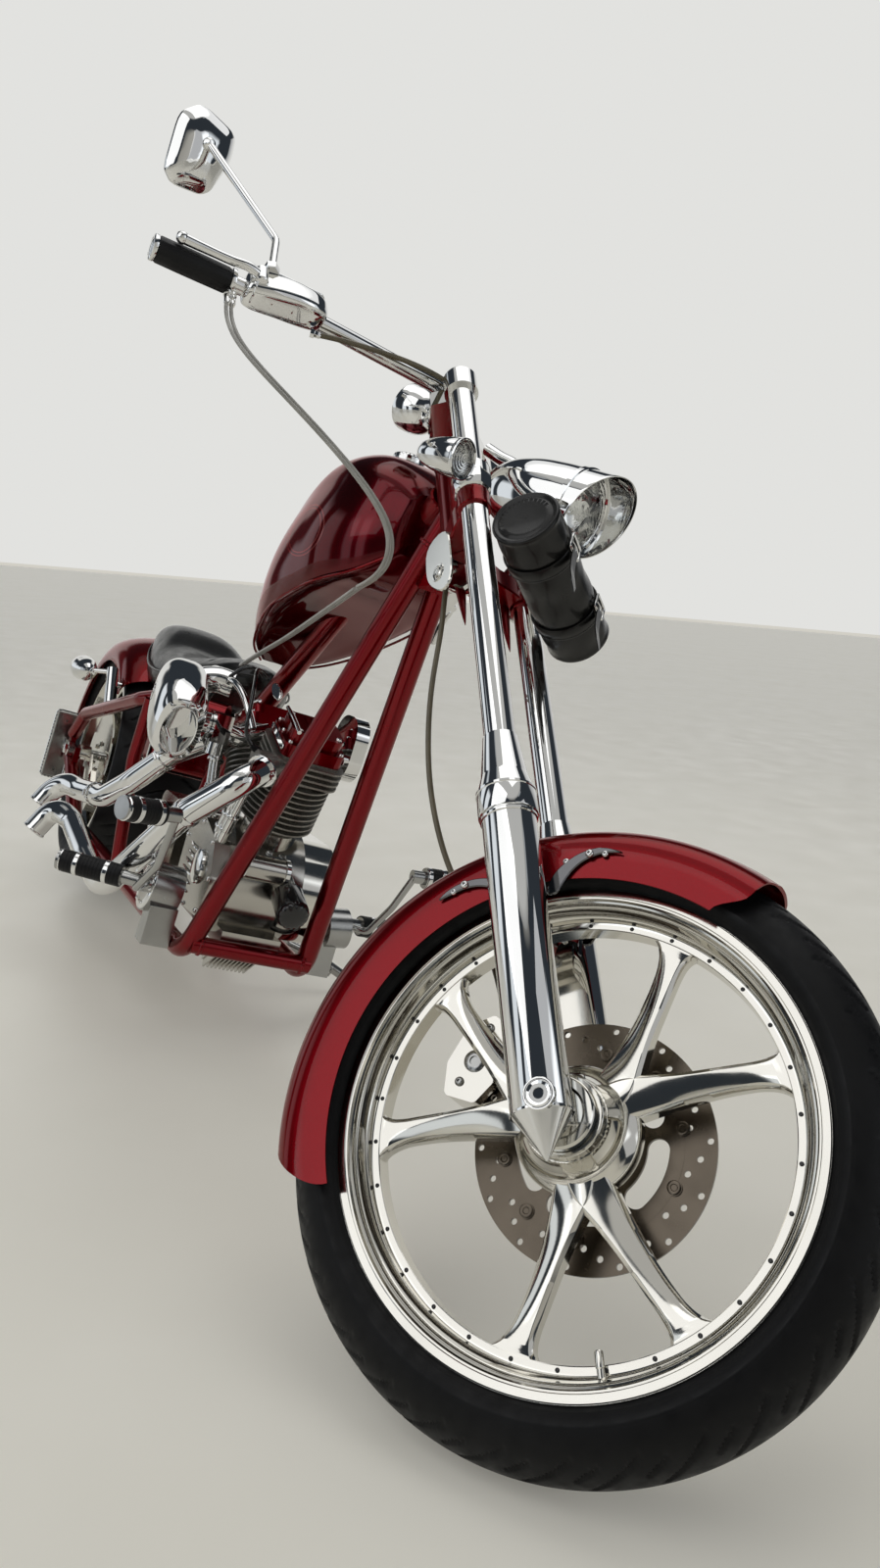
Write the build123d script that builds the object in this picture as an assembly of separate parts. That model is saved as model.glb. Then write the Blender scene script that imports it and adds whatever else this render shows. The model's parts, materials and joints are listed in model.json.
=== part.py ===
"""Long custom motorcycle, parked on its side stand with the steering on its left stop.

Everything is in millimetres.  The machine is drawn in its own frame: X forward along the
wheelbase, Y to its left, Z along its own upright, origin on the centre plane below the rear axle.
Parts that steer are drawn in the fork frame: X ahead of the fork, Y left, Z up along the fork
tubes, origin at the front wheel centre.  The last step turns the fork frame about the steering
axis, leans the whole machine to its left and moves it onto its footprint.
"""
from build123d import *
import math
import os

os.makedirs("parts", exist_ok=True)

# Stance
RAKE = 41.37
STEER = 37.7
LEAN = 13.8
AXIS_FOOT = (2168.1, 0.0, 280.7)
AXLE_AHEAD = 66.4
SHIFT = (-1084.0, -112.9, 0.0)

# Front wheel: 21 inch rim with a low 120 wide tyre
FRONT_TYRE_R = 350.7
FRONT_TYRE_W = 120.0
FRONT_CROWN_R = 60.0
FRONT_RIM_R = 280.0
FRONT_RIM_HALF = 49.5
SPOKE_ANGLES = (29.0, 149.0, 269.0)
ROTOR_R = 146.0
ROTOR_Y = 60.5
AXLE_R = 12.5
AXLE_GAP = 0.05

# Rear wheel: 18 inch rim with a 300 wide tyre
REAR_TYRE_R = 333.5
REAR_TYRE_W = 300.0
REAR_CROWN_R = 250.0
REAR_AXLE_Z = 340.9
REAR_RIM_R = 242.0
REAR_RIM_HALF = 138.0

# Fork
LEG_Y = 122.85
LEG_X = -8.0
TUBE_R = 20.5
SLIDER_R = 33.8
LOWER_TREE = (876.0, 922.0)
UPPER_TREE = (1134.0, 1164.0)
NECK = (930.0, 1128.0)
NECK_R = 33.0
STEM_R = 18.0

# Frame tubes
FRAME_R = 19.5
RAIL_Z = 158.0
RAIL_Y = 120.0
STAY_Y = 190.0
BACKBONE = [(1420, 0, 1066), (1136, 0, 868), (838, 0, 634), (700, 0, 560)]
BACKBONE_R = 22.0

# Engine
CRANK = (1040.0, 0.0, 298.0)
TILTS = {"front": 20.0, "rear": -25.0}
BARREL_R = 76.0
FIN_PITCH = 12.0
FIN_COUNT = 9
BARREL_BASE = 134.3
HEAD_BASE = 254.8


def unit(v):
    """Vector of length one."""
    return Vector(*v).normalized()


def fork_plane():
    """The fork frame turned to the left stop, seen from the machine frame."""
    rake = math.radians(RAKE)
    turn = math.radians(STEER)
    up = Vector(-math.sin(rake), 0, math.cos(rake))
    straight = Vector(math.cos(rake), 0, math.sin(rake))
    ahead = straight * math.cos(turn) + Vector(0, 1, 0) * math.sin(turn)
    return Plane(origin=Vector(*AXIS_FOOT) + ahead * AXLE_AHEAD, x_dir=ahead, z_dir=up)


def rod(start, end, radius, end_radius=None):
    """Round bar, or a cone, between two points."""
    a = Vector(*start)
    b = Vector(*end)
    length = (b - a).length
    place = Plane(origin=a, z_dir=(b - a)).location
    align = (Align.CENTER, Align.CENTER, Align.MIN)
    if end_radius is None:
        return place * Cylinder(radius, length, align=align)
    return place * Cone(radius, end_radius, length, align=align)


def bent_path(points, bend):
    """Wire through the points, straight runs joined by tangent arcs.

    bend is one radius, or one radius for each inner point.
    """
    pts = [Vector(*p) for p in points]
    bends = [bend] * (len(pts) - 2) if isinstance(bend, (int, float)) else list(bend)
    edges = []
    last = pts[0]
    for i in range(1, len(pts) - 1):
        into = (pts[i] - pts[i - 1]).normalized()
        out = (pts[i + 1] - pts[i]).normalized()
        angle = math.acos(max(-1.0, min(1.0, into.dot(out))))
        cut = bends[i - 1] * math.tan(angle / 2)
        first = pts[i] - into * cut
        second = pts[i] + out * cut
        middle = (out - into).normalized()
        depth = bends[i - 1] * (1 / math.cos(angle / 2) - 1)
        if (first - last).length > 1e-3:
            edges.append(Edge.make_line(last, first))
        edges.append(Edge.make_three_point_arc(first, pts[i] + middle * depth, second))
        last = second
    edges.append(Edge.make_line(last, pts[-1]))
    return Wire(edges)


def bar(points, radius, bend=None):
    """Solid round bar along a bent path."""
    if len(points) == 2:
        return rod(points[0], points[1], radius)
    path = bent_path(points, bend)
    face = Plane(origin=path @ 0, z_dir=path % 0) * Circle(radius)
    return sweep(face, path=path)


def pipe(points, radius, wall, bend):
    """Open pipe along a bent path."""
    path = bent_path(points, bend)
    ring = Plane(origin=path @ 0, z_dir=path % 0) * (Circle(radius) - Circle(radius - wall))
    return sweep(ring, path=path)


def spin(outline, axis_point=(0, 0, 0), axis=(0, 1, 0)):
    """Solid of revolution: outline is a list of (along the axis, radius)."""
    local = Plane.XY * make_face(Polyline(*[(r, s) for s, r in outline], close=True))
    body = revolve(local, axis=Axis.Y)
    turn = Plane(origin=Vector(*axis_point), x_dir=perpendicular(axis), z_dir=unit(axis))
    return turn.location * (Rot(X=90) * body)


def perpendicular(axis):
    """Any direction square to the axis."""
    a = unit(axis)
    helper = Vector(0, 0, 1) if abs(a.Z) < 0.9 else Vector(1, 0, 0)
    return a.cross(helper).normalized()


def mirrored(shape):
    """The same shape on the other side of the centre plane."""
    return mirror(shape, about=Plane.XZ)


def both(shape):
    """Left and right copies in one compound of separate solids."""
    return Compound(children=[*shape.solids(), *mirrored(shape).solids()])


def group(*shapes):
    """Separate solids kept together in one node."""
    solids = []
    for shape in shapes:
        solids.extend(shape.solids())
    return Compound(children=solids)


def slab(points, thickness, plane):
    """Flat plate with a polygon outline, extruded both ways from the plane."""
    return extrude(plane * make_face(Polyline(*points, close=True)), thickness / 2, both=True)


def tyre(outer, width, crown, seat, half_seat, bead):
    """Tyre section: crown curve, bulged sidewalls and a flat bead, turned about Y."""
    shoulder_y = width / 2
    drop = crown - math.sqrt(crown ** 2 - shoulder_y ** 2) if crown > shoulder_y else crown
    shoulder_r = outer - drop
    with BuildSketch(Plane.XY) as section:
        with BuildLine():
            if crown > 100:
                row = [-1.0, -0.75, -0.4, 0.0, 0.4, 0.75, 1.0]
                Spline(*[(outer - crown + math.sqrt(crown ** 2 - (k * shoulder_y) ** 2), k * shoulder_y)
                         for k in row])
            else:
                ThreePointArc((shoulder_r, -shoulder_y), (outer, 0), (shoulder_r, shoulder_y))
            mid = (shoulder_r + bead) / 2
            bulge = shoulder_y + (1.5 if crown > 100 else 0.0)
            ThreePointArc((shoulder_r, shoulder_y), (mid, bulge - 2), (bead, half_seat + 1.5))
            Line((bead, half_seat + 1.5), (seat, half_seat - 4))
            Line((seat, half_seat - 4), (seat, -half_seat + 4))
            Line((seat, -half_seat + 4), (bead, -half_seat - 1.5))
            ThreePointArc((bead, -half_seat - 1.5), (mid, -bulge + 2), (shoulder_r, -shoulder_y))
        make_face()
    return revolve(section.sketch, axis=Axis.Y)


def spoke_star():
    """Billet centre: three pairs of arms in V shapes, cut from one disc with rounded windows."""
    disc = Cylinder(243.5, 22)
    for angle in SPOKE_ANGLES:
        window = [(86, 0), (97, 10), (150, 33), (205, 57), (225, 61), (236, 44), (240.5, 0)]
        low = [(x, -y) for x, y in reversed(window[1:-1])]
        face = fillet(make_face(Polyline(*window, *low, close=True)).vertices(), radius=5)
        disc = disc - Rot(Z=angle) * extrude(face, 40, both=True)
        gap = [(78, 0), (74, 24), (75, 45)]
        for turn, reach in ((35.0, 112), (34.0, 160), (33.5, 205), (30.0, 230), (21.0, 239), (0, 241)):
            gap.append((reach * math.cos(math.radians(turn)), reach * math.sin(math.radians(turn))))
        low = [(x, -y) for x, y in reversed(gap[1:-1])]
        face = fillet(make_face(Polyline(*gap, *low, close=True)).vertices(), radius=6)
        disc = disc - Rot(Z=angle + 60) * extrude(face, 40, both=True)
    return Rot(X=90) * disc


def front_rim():
    """Stepped rim barrel, spoke star and hub, one solid."""
    half = FRONT_RIM_HALF
    near = [(-half, 266.5), (-half, 279.0), (-half + 1, FRONT_RIM_R), (-half + 3, FRONT_RIM_R),
            (-half + 4, 267.4), (-34, 266.7), (-27, 261), (0, 259)]
    inner = [(0, 241.0), (-13, 241.0), (-13.5, 250.5), (-22, 252.0), (-29, 256.5), (-36, 258.5),
             (-41, 262.5), (-45, 262.5)]
    outline = near + [(-y, r) for y, r in reversed(near[:-1])]
    outline += [(-y, r) for y, r in reversed(inner[1:])] + inner
    barrel = spin(outline)
    hub = rod((0, -84, 0), (0, 54, 0), 30)
    steps = rod((0, -84, 0), (0, -70, 0), 40) + rod((0, -70, 0), (0, -44, 0), 46)
    flare = rod((0, -44, 0), (0, -10, 0), 46, 76) + rod((0, 10, 0), (0, 40, 0), 76, 52)
    seat = rod((0, 40, 0), (0, 57.5, 0), 52)
    wheel = barrel + spoke_star() + hub + steps + flare + seat
    bore = rod((0, -90, 0), (0, 60, 0), AXLE_R + AXLE_GAP)
    recess = rod((0, -90, 0), (0, -74, 0), 27)
    return wheel - bore - recess


def front_rotor():
    """Drilled brake disc, its buttons and the windowed carrier inside it."""
    disc = rod((0, ROTOR_Y - 2.5, 0), (0, ROTOR_Y + 2.5, 0), ROTOR_R)
    disc = disc - rod((0, 0, 0), (0, 90, 0), 108)
    for row, radius in enumerate((116, 127, 138)):
        for k in range(14):
            a = math.radians(360 / 14 * k + row * 9)
            x, z = radius * math.cos(a), radius * math.sin(a)
            disc = disc - rod((x, 40, z), (x, 80, z), 3.9)
    carrier = rod((0, 57.6, 0), (0, 63.4, 0), 109)
    carrier = carrier - rod((0, 40, 0), (0, 80, 0), 30)
    for k in range(5):
        window = SlotArc(CenterArc((0, 0), 79, 72 * k + 14, 44), 26)
        carrier = carrier - Rot(X=90) * (Pos(Z=-60) * extrude(window, 20, both=True))
    buttons = []
    for k in range(10):
        a = math.radians(36 * k)
        x, z = 108 * math.cos(a), 108 * math.sin(a)
        buttons.append(rod((x, 55.5, z), (x, 65.5, z), 9))
    rotor = disc + carrier
    for b in buttons:
        rotor = rotor + b
    return rotor


def fork_tubes():
    """Upper fork tubes, from inside the sliders to the clamps of the upper tree."""
    tube = rod((LEG_X, -LEG_Y, 380), (LEG_X, -LEG_Y, UPPER_TREE[1] - 3), TUBE_R)
    return both(tube)


def fork_sliders():
    """Lower legs with a stepped collar and a pointed end below the axle."""
    x, y = LEG_X, -LEG_Y
    leg = rod((x, y, -12), (x, y, 352), SLIDER_R)
    leg = leg + rod((x, y, 352), (x, y, 384), 37.0)
    leg = leg + rod((x, y, 384), (x, y, 410), 37.0, 30.0)
    leg = leg + rod((x, y, 410), (x, y, 470), 30.0, 22.5)
    leg = leg + rod((x, y, -12), (x, y, -60), SLIDER_R, 3.0)
    leg = leg - rod((x, y, 379.9), (x, y, 480), TUBE_R)
    leg = leg - rod((0, -200, 0), (0, -50, 0), AXLE_R + 0.02)
    leg = leg - rod((0, y - SLIDER_R - 5, 0), (0, y - 22, 0), 15.5)
    return both(leg)


def front_axle():
    """Through axle with a domed cap at each end."""
    axle = rod((0, -LEG_Y - 30, 0), (0, LEG_Y + 30, 0), AXLE_R)
    cap = rod((0, -LEG_Y - 35, 0), (0, -LEG_Y - 22.5, 0), 14.8)
    cap = cap - rod((0, -LEG_Y - 40, 0), (0, -LEG_Y - 30, 0), 6)
    return axle + cap + mirrored(cap)


def lower_tree():
    """Painted lower tree: two collars, a bridge round the stem and pointed ends hanging down."""
    low, high = LOWER_TREE
    tree = rod((LEG_X, -LEG_Y, low), (LEG_X, -LEG_Y, high), 25.0)
    tree = tree + rod((LEG_X, LEG_Y, low), (LEG_X, LEG_Y, high), 25.0)
    tree = tree + rod((-AXLE_AHEAD, 0, low), (-AXLE_AHEAD, 0, high), 36.0)
    outline = [(-94, -26), (-34, -LEG_Y), (2, -LEG_Y + 6), (-26, -40), (-26, 40),
               (2, LEG_Y - 6), (-34, LEG_Y), (-94, 26)]
    web = extrude(Pos(Z=low + 4) * make_face(Polyline(*outline, close=True)), high - low - 8)
    tree = tree + web
    for x, y in ((-82, 14), (-40, LEG_Y - 18), (-40, 18 - LEG_Y)):
        fin = loft([Pos(x, y, low + 10) * Rectangle(20, 28), Pos(x + 2, y, low - 84) * Rectangle(3, 4)])
        tree = tree + fin
    for y in (-LEG_Y, LEG_Y):
        tree = tree - rod((LEG_X, y, low - 100), (LEG_X, y, high + 5), TUBE_R)
    return tree - rod((-AXLE_AHEAD, 0, low - 5), (-AXLE_AHEAD, 0, high + 5), STEM_R)


def tree_cups():
    """Flared chrome cups on top of the lower tree's collars."""
    z = LOWER_TREE[1]
    cup = rod((LEG_X, -LEG_Y, z), (LEG_X, -LEG_Y, z + 16), 24.5, 28.5)
    cup = cup + rod((LEG_X, -LEG_Y, z + 16), (LEG_X, -LEG_Y, z + 36), 29.5)
    return both(cup - rod((LEG_X, -LEG_Y, z - 1), (LEG_X, -LEG_Y, z + 40), TUBE_R))


def upper_tree():
    """Polished upper tree: two clamps closed over the tubes and a bridge round the stem."""
    low, high = UPPER_TREE
    tree = rod((LEG_X, -LEG_Y, low), (LEG_X, -LEG_Y, high + 4), 27.0)
    tree = tree + rod((LEG_X, LEG_Y, low), (LEG_X, LEG_Y, high + 4), 27.0)
    outline = [(-100, -30), (-60, -LEG_Y), (12, -LEG_Y + 8), (-16, -48), (-16, 48),
               (12, LEG_Y - 8), (-60, LEG_Y), (-100, 30)]
    tree = tree + extrude(Pos(Z=low) * make_face(Polyline(*outline, close=True)), high - low)
    for y in (-LEG_Y, LEG_Y):
        tree = tree - rod((LEG_X, y, low - 5), (LEG_X, y, high - 3), TUBE_R)
    return tree - rod((-AXLE_AHEAD, 0, low - 5), (-AXLE_AHEAD, 0, high + 5), STEM_R)


def steering_stem():
    """Stem joining the two trees inside the neck, with its nut."""
    stem = rod((-AXLE_AHEAD, 0, LOWER_TREE[0]), (-AXLE_AHEAD, 0, UPPER_TREE[1]), STEM_R)
    return stem + rod((-AXLE_AHEAD, 0, UPPER_TREE[1]), (-AXLE_AHEAD, 0, UPPER_TREE[1] + 7), 15)


def steering_cover():
    """Bright cover plate hung under the lower tree on the right, with a recessed round bolt."""
    outline = [(-98, 879.7), (-101, 862), (-94, 842), (-58, 809), (-38, 818), (-36, 879.7)]
    plate = Plane.XZ * make_face(Polyline(*outline, close=True))
    plate = Pos(Y=-46) * extrude(plate, 4, both=True)
    plate = plate - rod((-73, -52, 852), (-73, -47, 852), 11)
    return plate + rod((-73, -47.5, 852), (-73, -49.5, 852), 6)


def front_fender():
    """Close fender: an arched shell turned about the axle, its ends cut to points."""
    half = [(74.5, 282), (76.0, 318), (73, 336), (62, 350), (44, 359), (22, 363.5), (0, 365)]
    inner = [(y - 2.6 * k[0], r - 2.6 * k[1]) for (y, r), k in
             zip(half, ((1, 0), (1, 0.1), (0.85, 0.55), (0.65, 0.8), (0.4, 0.95), (0.2, 1), (0, 1)))]
    ring = list(half) + [(-y, r) for y, r in reversed(half[:-1])]
    ring += [(-y, r) for y, r in inner] + [(y, r) for y, r in reversed(inner[:-1])]
    section = make_face(Polyline(*[(r, y) for y, r in ring], close=True))
    start, sweep_angle = 36.0, 148.0
    turned = revolve(section, axis=Axis.Y, revolution_arc=sweep_angle)
    shell = Rot(Y=-start) * Rot(Y=-sweep_angle) * turned
    tool = Plane.XZ * make_face(Polyline((420, 120), (420, 238), (288, 232), (262, 214), (238, 196),
                                         (205, 194), (170, 215), (150, 100), close=True))
    cut_front = extrude(tool, 200, both=True)
    tool = Plane.XZ * make_face(Polyline((-440, 52), (-364, 52), (-316, -8), (-270, -32), (-200, -60),
                                         (-440, -120), close=True))
    cut_rear = extrude(tool, 200, both=True)
    return shell - cut_front - cut_rear


def fender_mounts():
    """Curved brackets from the sliders to the fender sides, pointed at both ends."""
    outline = [(-122, 286), (-100, 303), (-60, 302), (-36, 292), (22, 292), (26, 296),
               (60, 308), (100, 304), (118, 292), (92, 290), (56, 282), (36, 274),
               (-50, 274), (-90, 286)]
    plate = Plane.XZ * make_face(Polyline(*outline, close=True))
    arm = Pos(Y=-78.9) * extrude(plate, 2.4, both=True)
    boss = rod((LEG_X, -80, 283), (LEG_X, -LEG_Y, 283), 9)
    boss = boss - rod((LEG_X, -LEG_Y, 200), (LEG_X, -LEG_Y, 340), SLIDER_R + 0.3)
    return both(arm + boss)


def front_caliper():
    """Polished caliper behind the left leg, straddling the disc, with its slotted bracket."""
    outline = [(-172, 84), (-164, 124), (-132, 164), (-96, 172), (-74, 146), (-96, 118),
               (-108, 86), (-134, 66)]
    block = fillet((Plane.XZ * make_face(Polyline(*outline, close=True))).vertices(), radius=8)
    body = Pos(Y=66) * extrude(block, 32, both=True)
    body = body - rod((0, ROTOR_Y - 8.5, 0), (0, ROTOR_Y + 8.5, 0), 153)
    lug = [(-100, 112), (-76, 160), (-40, 186), (-30, 232), (-16, 262), (4, 268), (0, 226), (14, 196),
           (16, 150), (-14, 136), (-60, 140)]
    lug = Plane.XZ * make_face(Polyline(*lug, close=True))
    arm = Pos(Y=84) * extrude(lug, 4.5, both=True)
    arm = arm - rod((LEG_X, LEG_Y, 60), (LEG_X, LEG_Y, 300), SLIDER_R + 0.3)
    return body + arm


LAMP_AXIS = (0.7505, 0.0, -0.6609)
LAMP_AT = (131.0, 0.0, 926.0)


def headlight():
    """Teardrop lamp shell with a slanted, peaked mouth, on a short mount."""
    back = [(-196, 0.01), (-190, 17), (-176, 34), (-150, 51), (-104, 65), (-40, 68), (62, 68),
            (62, 65.2), (-14, 65.2), (-46, 44), (-62, 18), (-64, 0.01)]
    shell = spin(back, axis_point=LAMP_AT, axis=LAMP_AXIS)
    cut = Polyline((-6, -80), (50, 72), (50, 90), (120, 90), (120, -80), close=True)
    ahead = unit(LAMP_AXIS)
    side = Plane(origin=Vector(*LAMP_AT), x_dir=ahead, z_dir=Vector(0, -1, 0))
    shell = shell - extrude(side * make_face(cut), 120, both=True)
    stem = rod((46, 0, 1058), (-4, 0, UPPER_TREE[0] - 0.4), 11)
    return shell + stem


def headlight_lens():
    """Domed lens deep in the shell's mouth."""
    outline = [(-13.6, 0.01), (-13.6, 64.9), (-4, 64.9), (2, 50), (7, 26), (8, 0.01)]
    return spin(outline, axis_point=LAMP_AT, axis=LAMP_AXIS)


SIGNAL_AXIS = (0.80, 0.0, -0.60)
SIGNAL_AT = (-24.0, -185.0, 937.0)


def signal_shell(at, axis, scale=1.0):
    """Bullet lamp shell with an open rim."""
    s = scale
    outline = [(-52 * s, 0.01), (-48 * s, 9 * s), (-36 * s, 17 * s), (-14 * s, 25 * s), (12 * s, 29 * s),
               (30 * s, 29.5 * s), (30 * s, 26.5 * s), (16 * s, 26.5 * s), (16 * s, 0.01)]
    return spin(outline, axis_point=at, axis=axis)


def signal_lens(at, axis, scale=1.0):
    """Shallow dome that fills the rim of a bullet lamp."""
    s = scale
    outline = [(16.3 * s, 0.01), (16.3 * s, 26.2 * s), (28 * s, 26.2 * s), (31 * s, 16 * s), (32 * s, 0.01)]
    return spin(outline, axis_point=at, axis=axis)


def front_signal_shells():
    """Front bullet lamps, each on a stub from the cup beside its tube."""
    shell = signal_shell(SIGNAL_AT, SIGNAL_AXIS)
    stub = rod((LEG_X - 2, -LEG_Y - 29.7, 942), (LEG_X - 6, SIGNAL_AT[1] + 8, 942), 8)
    return both(shell + stub)


def front_signal_lenses():
    """Clear lenses of the front bullet lamps."""
    return both(signal_lens(SIGNAL_AT, SIGNAL_AXIS))


BAR_R = 13.0
BAR_Z = 1192.0
BAR_POINTS = [(-332, -497, BAR_Z - 2), (-178, -296, BAR_Z + 3), (-46, -104, BAR_Z),
              (-46, 104, BAR_Z), (-178, 296, BAR_Z + 3), (-332, 497, BAR_Z - 2)]
BAR_BENDS = [300, 60, 60, 300]


def handlebar():
    """One-inch bar, swept back on both sides, with two clamps on the upper tree."""
    tube = bar(BAR_POINTS, BAR_R, BAR_BENDS)
    for y in (-62, 62):
        tall = BAR_Z + 17 - UPPER_TREE[1]
        tube = tube + Pos(-46, y, UPPER_TREE[1] + tall / 2) * Box(42, 34, tall)
    return tube


def grips():
    """Rubber grips with two raised bands and an end cap."""
    a = Vector(*BAR_POINTS[0])
    d = (Vector(*BAR_POINTS[1]) - a).normalized()
    core = None
    for t0, t1, r in ((-6, 6, 17), (6, 34, 18.5), (34, 42, 16.5), (42, 74, 18.5), (74, 82, 16.5),
                      (82, 112, 18.5), (112, 120, 20)):
        piece = rod(a + d * t0, a + d * t1, r)
        core = piece if core is None else core + piece
    core = core - rod(a, a + d * 130, BAR_R + 0.02)
    return both(core)


def hand_controls():
    """Master cylinder, switch housing and lever on each side."""
    a = Vector(*BAR_POINTS[0])
    d = (Vector(*BAR_POINTS[1]) - a).normalized()
    up = Vector(0, 0, 1)
    front = d.cross(up).normalized()
    if front.X < 0:
        front = front * -1.0
    house = Plane(origin=a + d * 144, x_dir=d, z_dir=up).location * Box(38, 44, 42)
    spot = a + d * 208 + front * 10 + up * 6
    shell = [Pos(0, 0, -24) * Rectangle(84, 30), Pos(0, 0, 6) * Rectangle(104, 44),
             Pos(0, 0, 22) * Rectangle(98, 38)]
    body = house + Plane(origin=spot, x_dir=d, z_dir=up).location * loft(shell, ruled=True)
    start = a + d * 160 + front * 26
    mid = a + d * 112 + front * 42 + up * 6
    end = a + d * 2 + front * 38 + up * 10
    lever = bar([tuple(start), tuple(mid), tuple(end)], 6.5, 40)
    knob = rod(end - (end - mid).normalized() * 4, end + (end - mid).normalized() * 8, 9)
    body = body + lever + knob
    body = body - bar(BAR_POINTS, BAR_R + 0.02, BAR_BENDS)
    return both(body - rod(a + d * -20, a + d * 121, 20.4))


MIRROR_STEM = [(-206, -384, 1222.4), (-198, -386, 1284), (-282, -456, 1494)]


def mirrors():
    """Faceted mirror heads on bent stems."""
    stem = bar(MIRROR_STEM, 6.2, [24])
    hexagon = [(-43, 48), (25, 64), (46, 26), (54, -46), (2, -81), (-22, -74), (-59, 7)]
    place = Plane(origin=(-300, -448, 1510), x_dir=(0.194, 0.966, -0.171), z_dir=(0.725, -0.259, -0.638))
    rim = place * make_face(Polyline(*hexagon, close=True))
    small = [(0.35 * x, 0.35 * y) for x, y in hexagon]
    back = place * (Pos(0, 0, 22) * make_face(Polyline(*small, close=True)))
    head = loft([rim, back], ruled=True) + extrude(rim, 7, dir=-place.z_dir)
    ball = Pos(*MIRROR_STEM[-1]) * Sphere(9)
    return both(head + stem + ball)


def gauge():
    """Round instrument in a deep cup, on a bent tube behind the upper tree."""
    cup = spin([(-34, 0.01), (-30, 20), (-16, 34), (4, 40), (24, 40), (24, 0.01)],
               axis_point=(-112, -20, 1258), axis=(-0.62, 0.0, 0.78))
    stalk = bar([(-104, -22, 1242), (-80, -24, 1226), (-80, -24, UPPER_TREE[1] + 0.3)], 8, 12)
    return cup + stalk


def tool_roll():
    """Leather roll across the front of the fork, with straps."""
    near, far = Vector(67, -134, 822), Vector(69, 130, 800)
    along = (far - near).normalized()
    roll = rod(near, far, 50)
    for t in (6, 68, 196, 258):
        roll = roll + rod(near + along * (t - 6), near + along * (t + 6), 52.5)
    for y in (-LEG_Y, LEG_Y):
        roll = roll - rod((LEG_X, y, 700), (LEG_X, y, 930), TUBE_R + 0.3)
    return roll


def brake_hose():
    """Hose from the lower tree's fitting down behind the fork to the caliper."""
    pts = [(-90, -16, 874.4), (-104, -10, 800), (-146, 20, 700), (-168, 40, 560), (-162, 62, 450),
           (-150, 92, 390), (-104, 92, 290), (-98, 84, 178)]
    return bar(pts, 4.2, [60, 160, 200, 120, 70, 60])


def hand_hose():
    """Hose from the right master cylinder to the upper tree."""
    pts = [(-184, -296, 1166), (-140, -262, 1168), (-84, -200, 1178), (-14, -100, 1184), (-18, -44, 1184),
           (-18, -44, UPPER_TREE[1] + 0.6)]
    return bar(pts, 4.0, [40, 80, 40, 10])


THROTTLE_END = (-208.6, -80.5, 842.2)


def throttle_upper():
    """Pair of throttle cables from the right control, hanging free toward the neck."""
    out = []
    for off in (0, 1):
        dx, dy, dz = (0, 0, 0) if off == 0 else (-3, -9, -6)
        pts = [(-262, -398, 1166), (-264, -406, 1112), (-250, -408, 1052), (-162, -285, 934),
               (-112, -190, 842), (-132, -150, 776), THROTTLE_END]
        pts = [(x + dx, y + dy, z + dz) for x, y, z in pts]
        out.append(bar(pts, 3.6, [40, 26, 300, 60, 22]))
    return group(*out)


def throttle_lower():
    """Lower run of the throttle cables, under the tank to the intake."""
    out = []
    for dy, dz in ((0, 0), (-9, -5)):
        pts = [(1560, -150 + dy, 870 + dz), (1410, -128 + dy, 838 + dz), (1180, -112 + dy, 768 + dz),
               (960, -104 + dy, 704 + dz)]
        out.append(bar(pts, 3.6, [200, 300]))
    return group(*out)


def rail_side(radius):
    """Right loop: downtube, bottom rail and the run up to the axle plate."""
    pts = [(1494, -11.2, 1034.8), (1159, -RAIL_Y, RAIL_Z), (560, -RAIL_Y - 14, RAIL_Z),
           (250, -STAY_Y, 190), (-30, -STAY_Y, 320)]
    return bar(pts, radius, [75, 220, 160])


def frame_cradle():
    """Neck tube, both loops, front cross tube, gusset and the rear axle plates."""
    plane = fork_plane()
    low = plane.from_local_coords(Vector(-AXLE_AHEAD, 0, NECK[0]))
    high = plane.from_local_coords(Vector(-AXLE_AHEAD, 0, NECK[1]))
    right = rail_side(FRAME_R) + Pos(-44, -STAY_Y, 325) * Box(150, 14, 56)
    right = right - rod((0, -260, REAR_AXLE_Z), (0, -100, REAR_AXLE_Z), AXLE_R + 0.02)
    right = right - rod((0, -260, REAR_AXLE_Z), (0, -STAY_Y - 7, REAR_AXLE_Z), 22)
    frame = right + mirrored(right) + rod(low, high, NECK_R)
    frame = frame + rod((1178, -RAIL_Y, 182), (1178, RAIL_Y, 182), 17)
    frame = frame + rod((590, -RAIL_Y, RAIL_Z), (590, RAIL_Y, RAIL_Z), 16)
    brace = Plane(origin=(1478, 0, 948), x_dir=(0, 1, 0), z_dir=(0.93, 0, -0.37))
    frame = frame + brace.location * Box(44, 74, 30)
    x, y, z = STAND_PIVOT
    for dz in (-19.3, 19.3):
        frame = frame + Pos(x, y - 10, z + dz) * Box(36, 52, 6)
    frame = frame + rod((x, y, z - 22), (x, y, z + 22), 6)
    return frame - rod(low, high, STEM_R + 3)


def seat_post(radius):
    """Post from the backbone down to just above the rear cross tube."""
    return bar([(790, 0, 606), (640, 0, 500), (590, 0, 330), (590, 0, RAIL_Z + 16.3)], radius, [120, 120])


def frame_spine():
    """Backbone under the tank and the seat post down to the bottom rails."""
    back = bar(BACKBONE, BACKBONE_R, [900, 160])
    return back + seat_post(17)


def upper_stay(radius):
    """Right upper stay, from the backbone back to the axle plate."""
    pts = [(742, -42, 588), (650, -150, 586), (545, -184, 556), (10, -STAY_Y, 446),
           (-84, -STAY_Y, 376)]
    return bar(pts, radius, [60, 60, 50])


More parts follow.
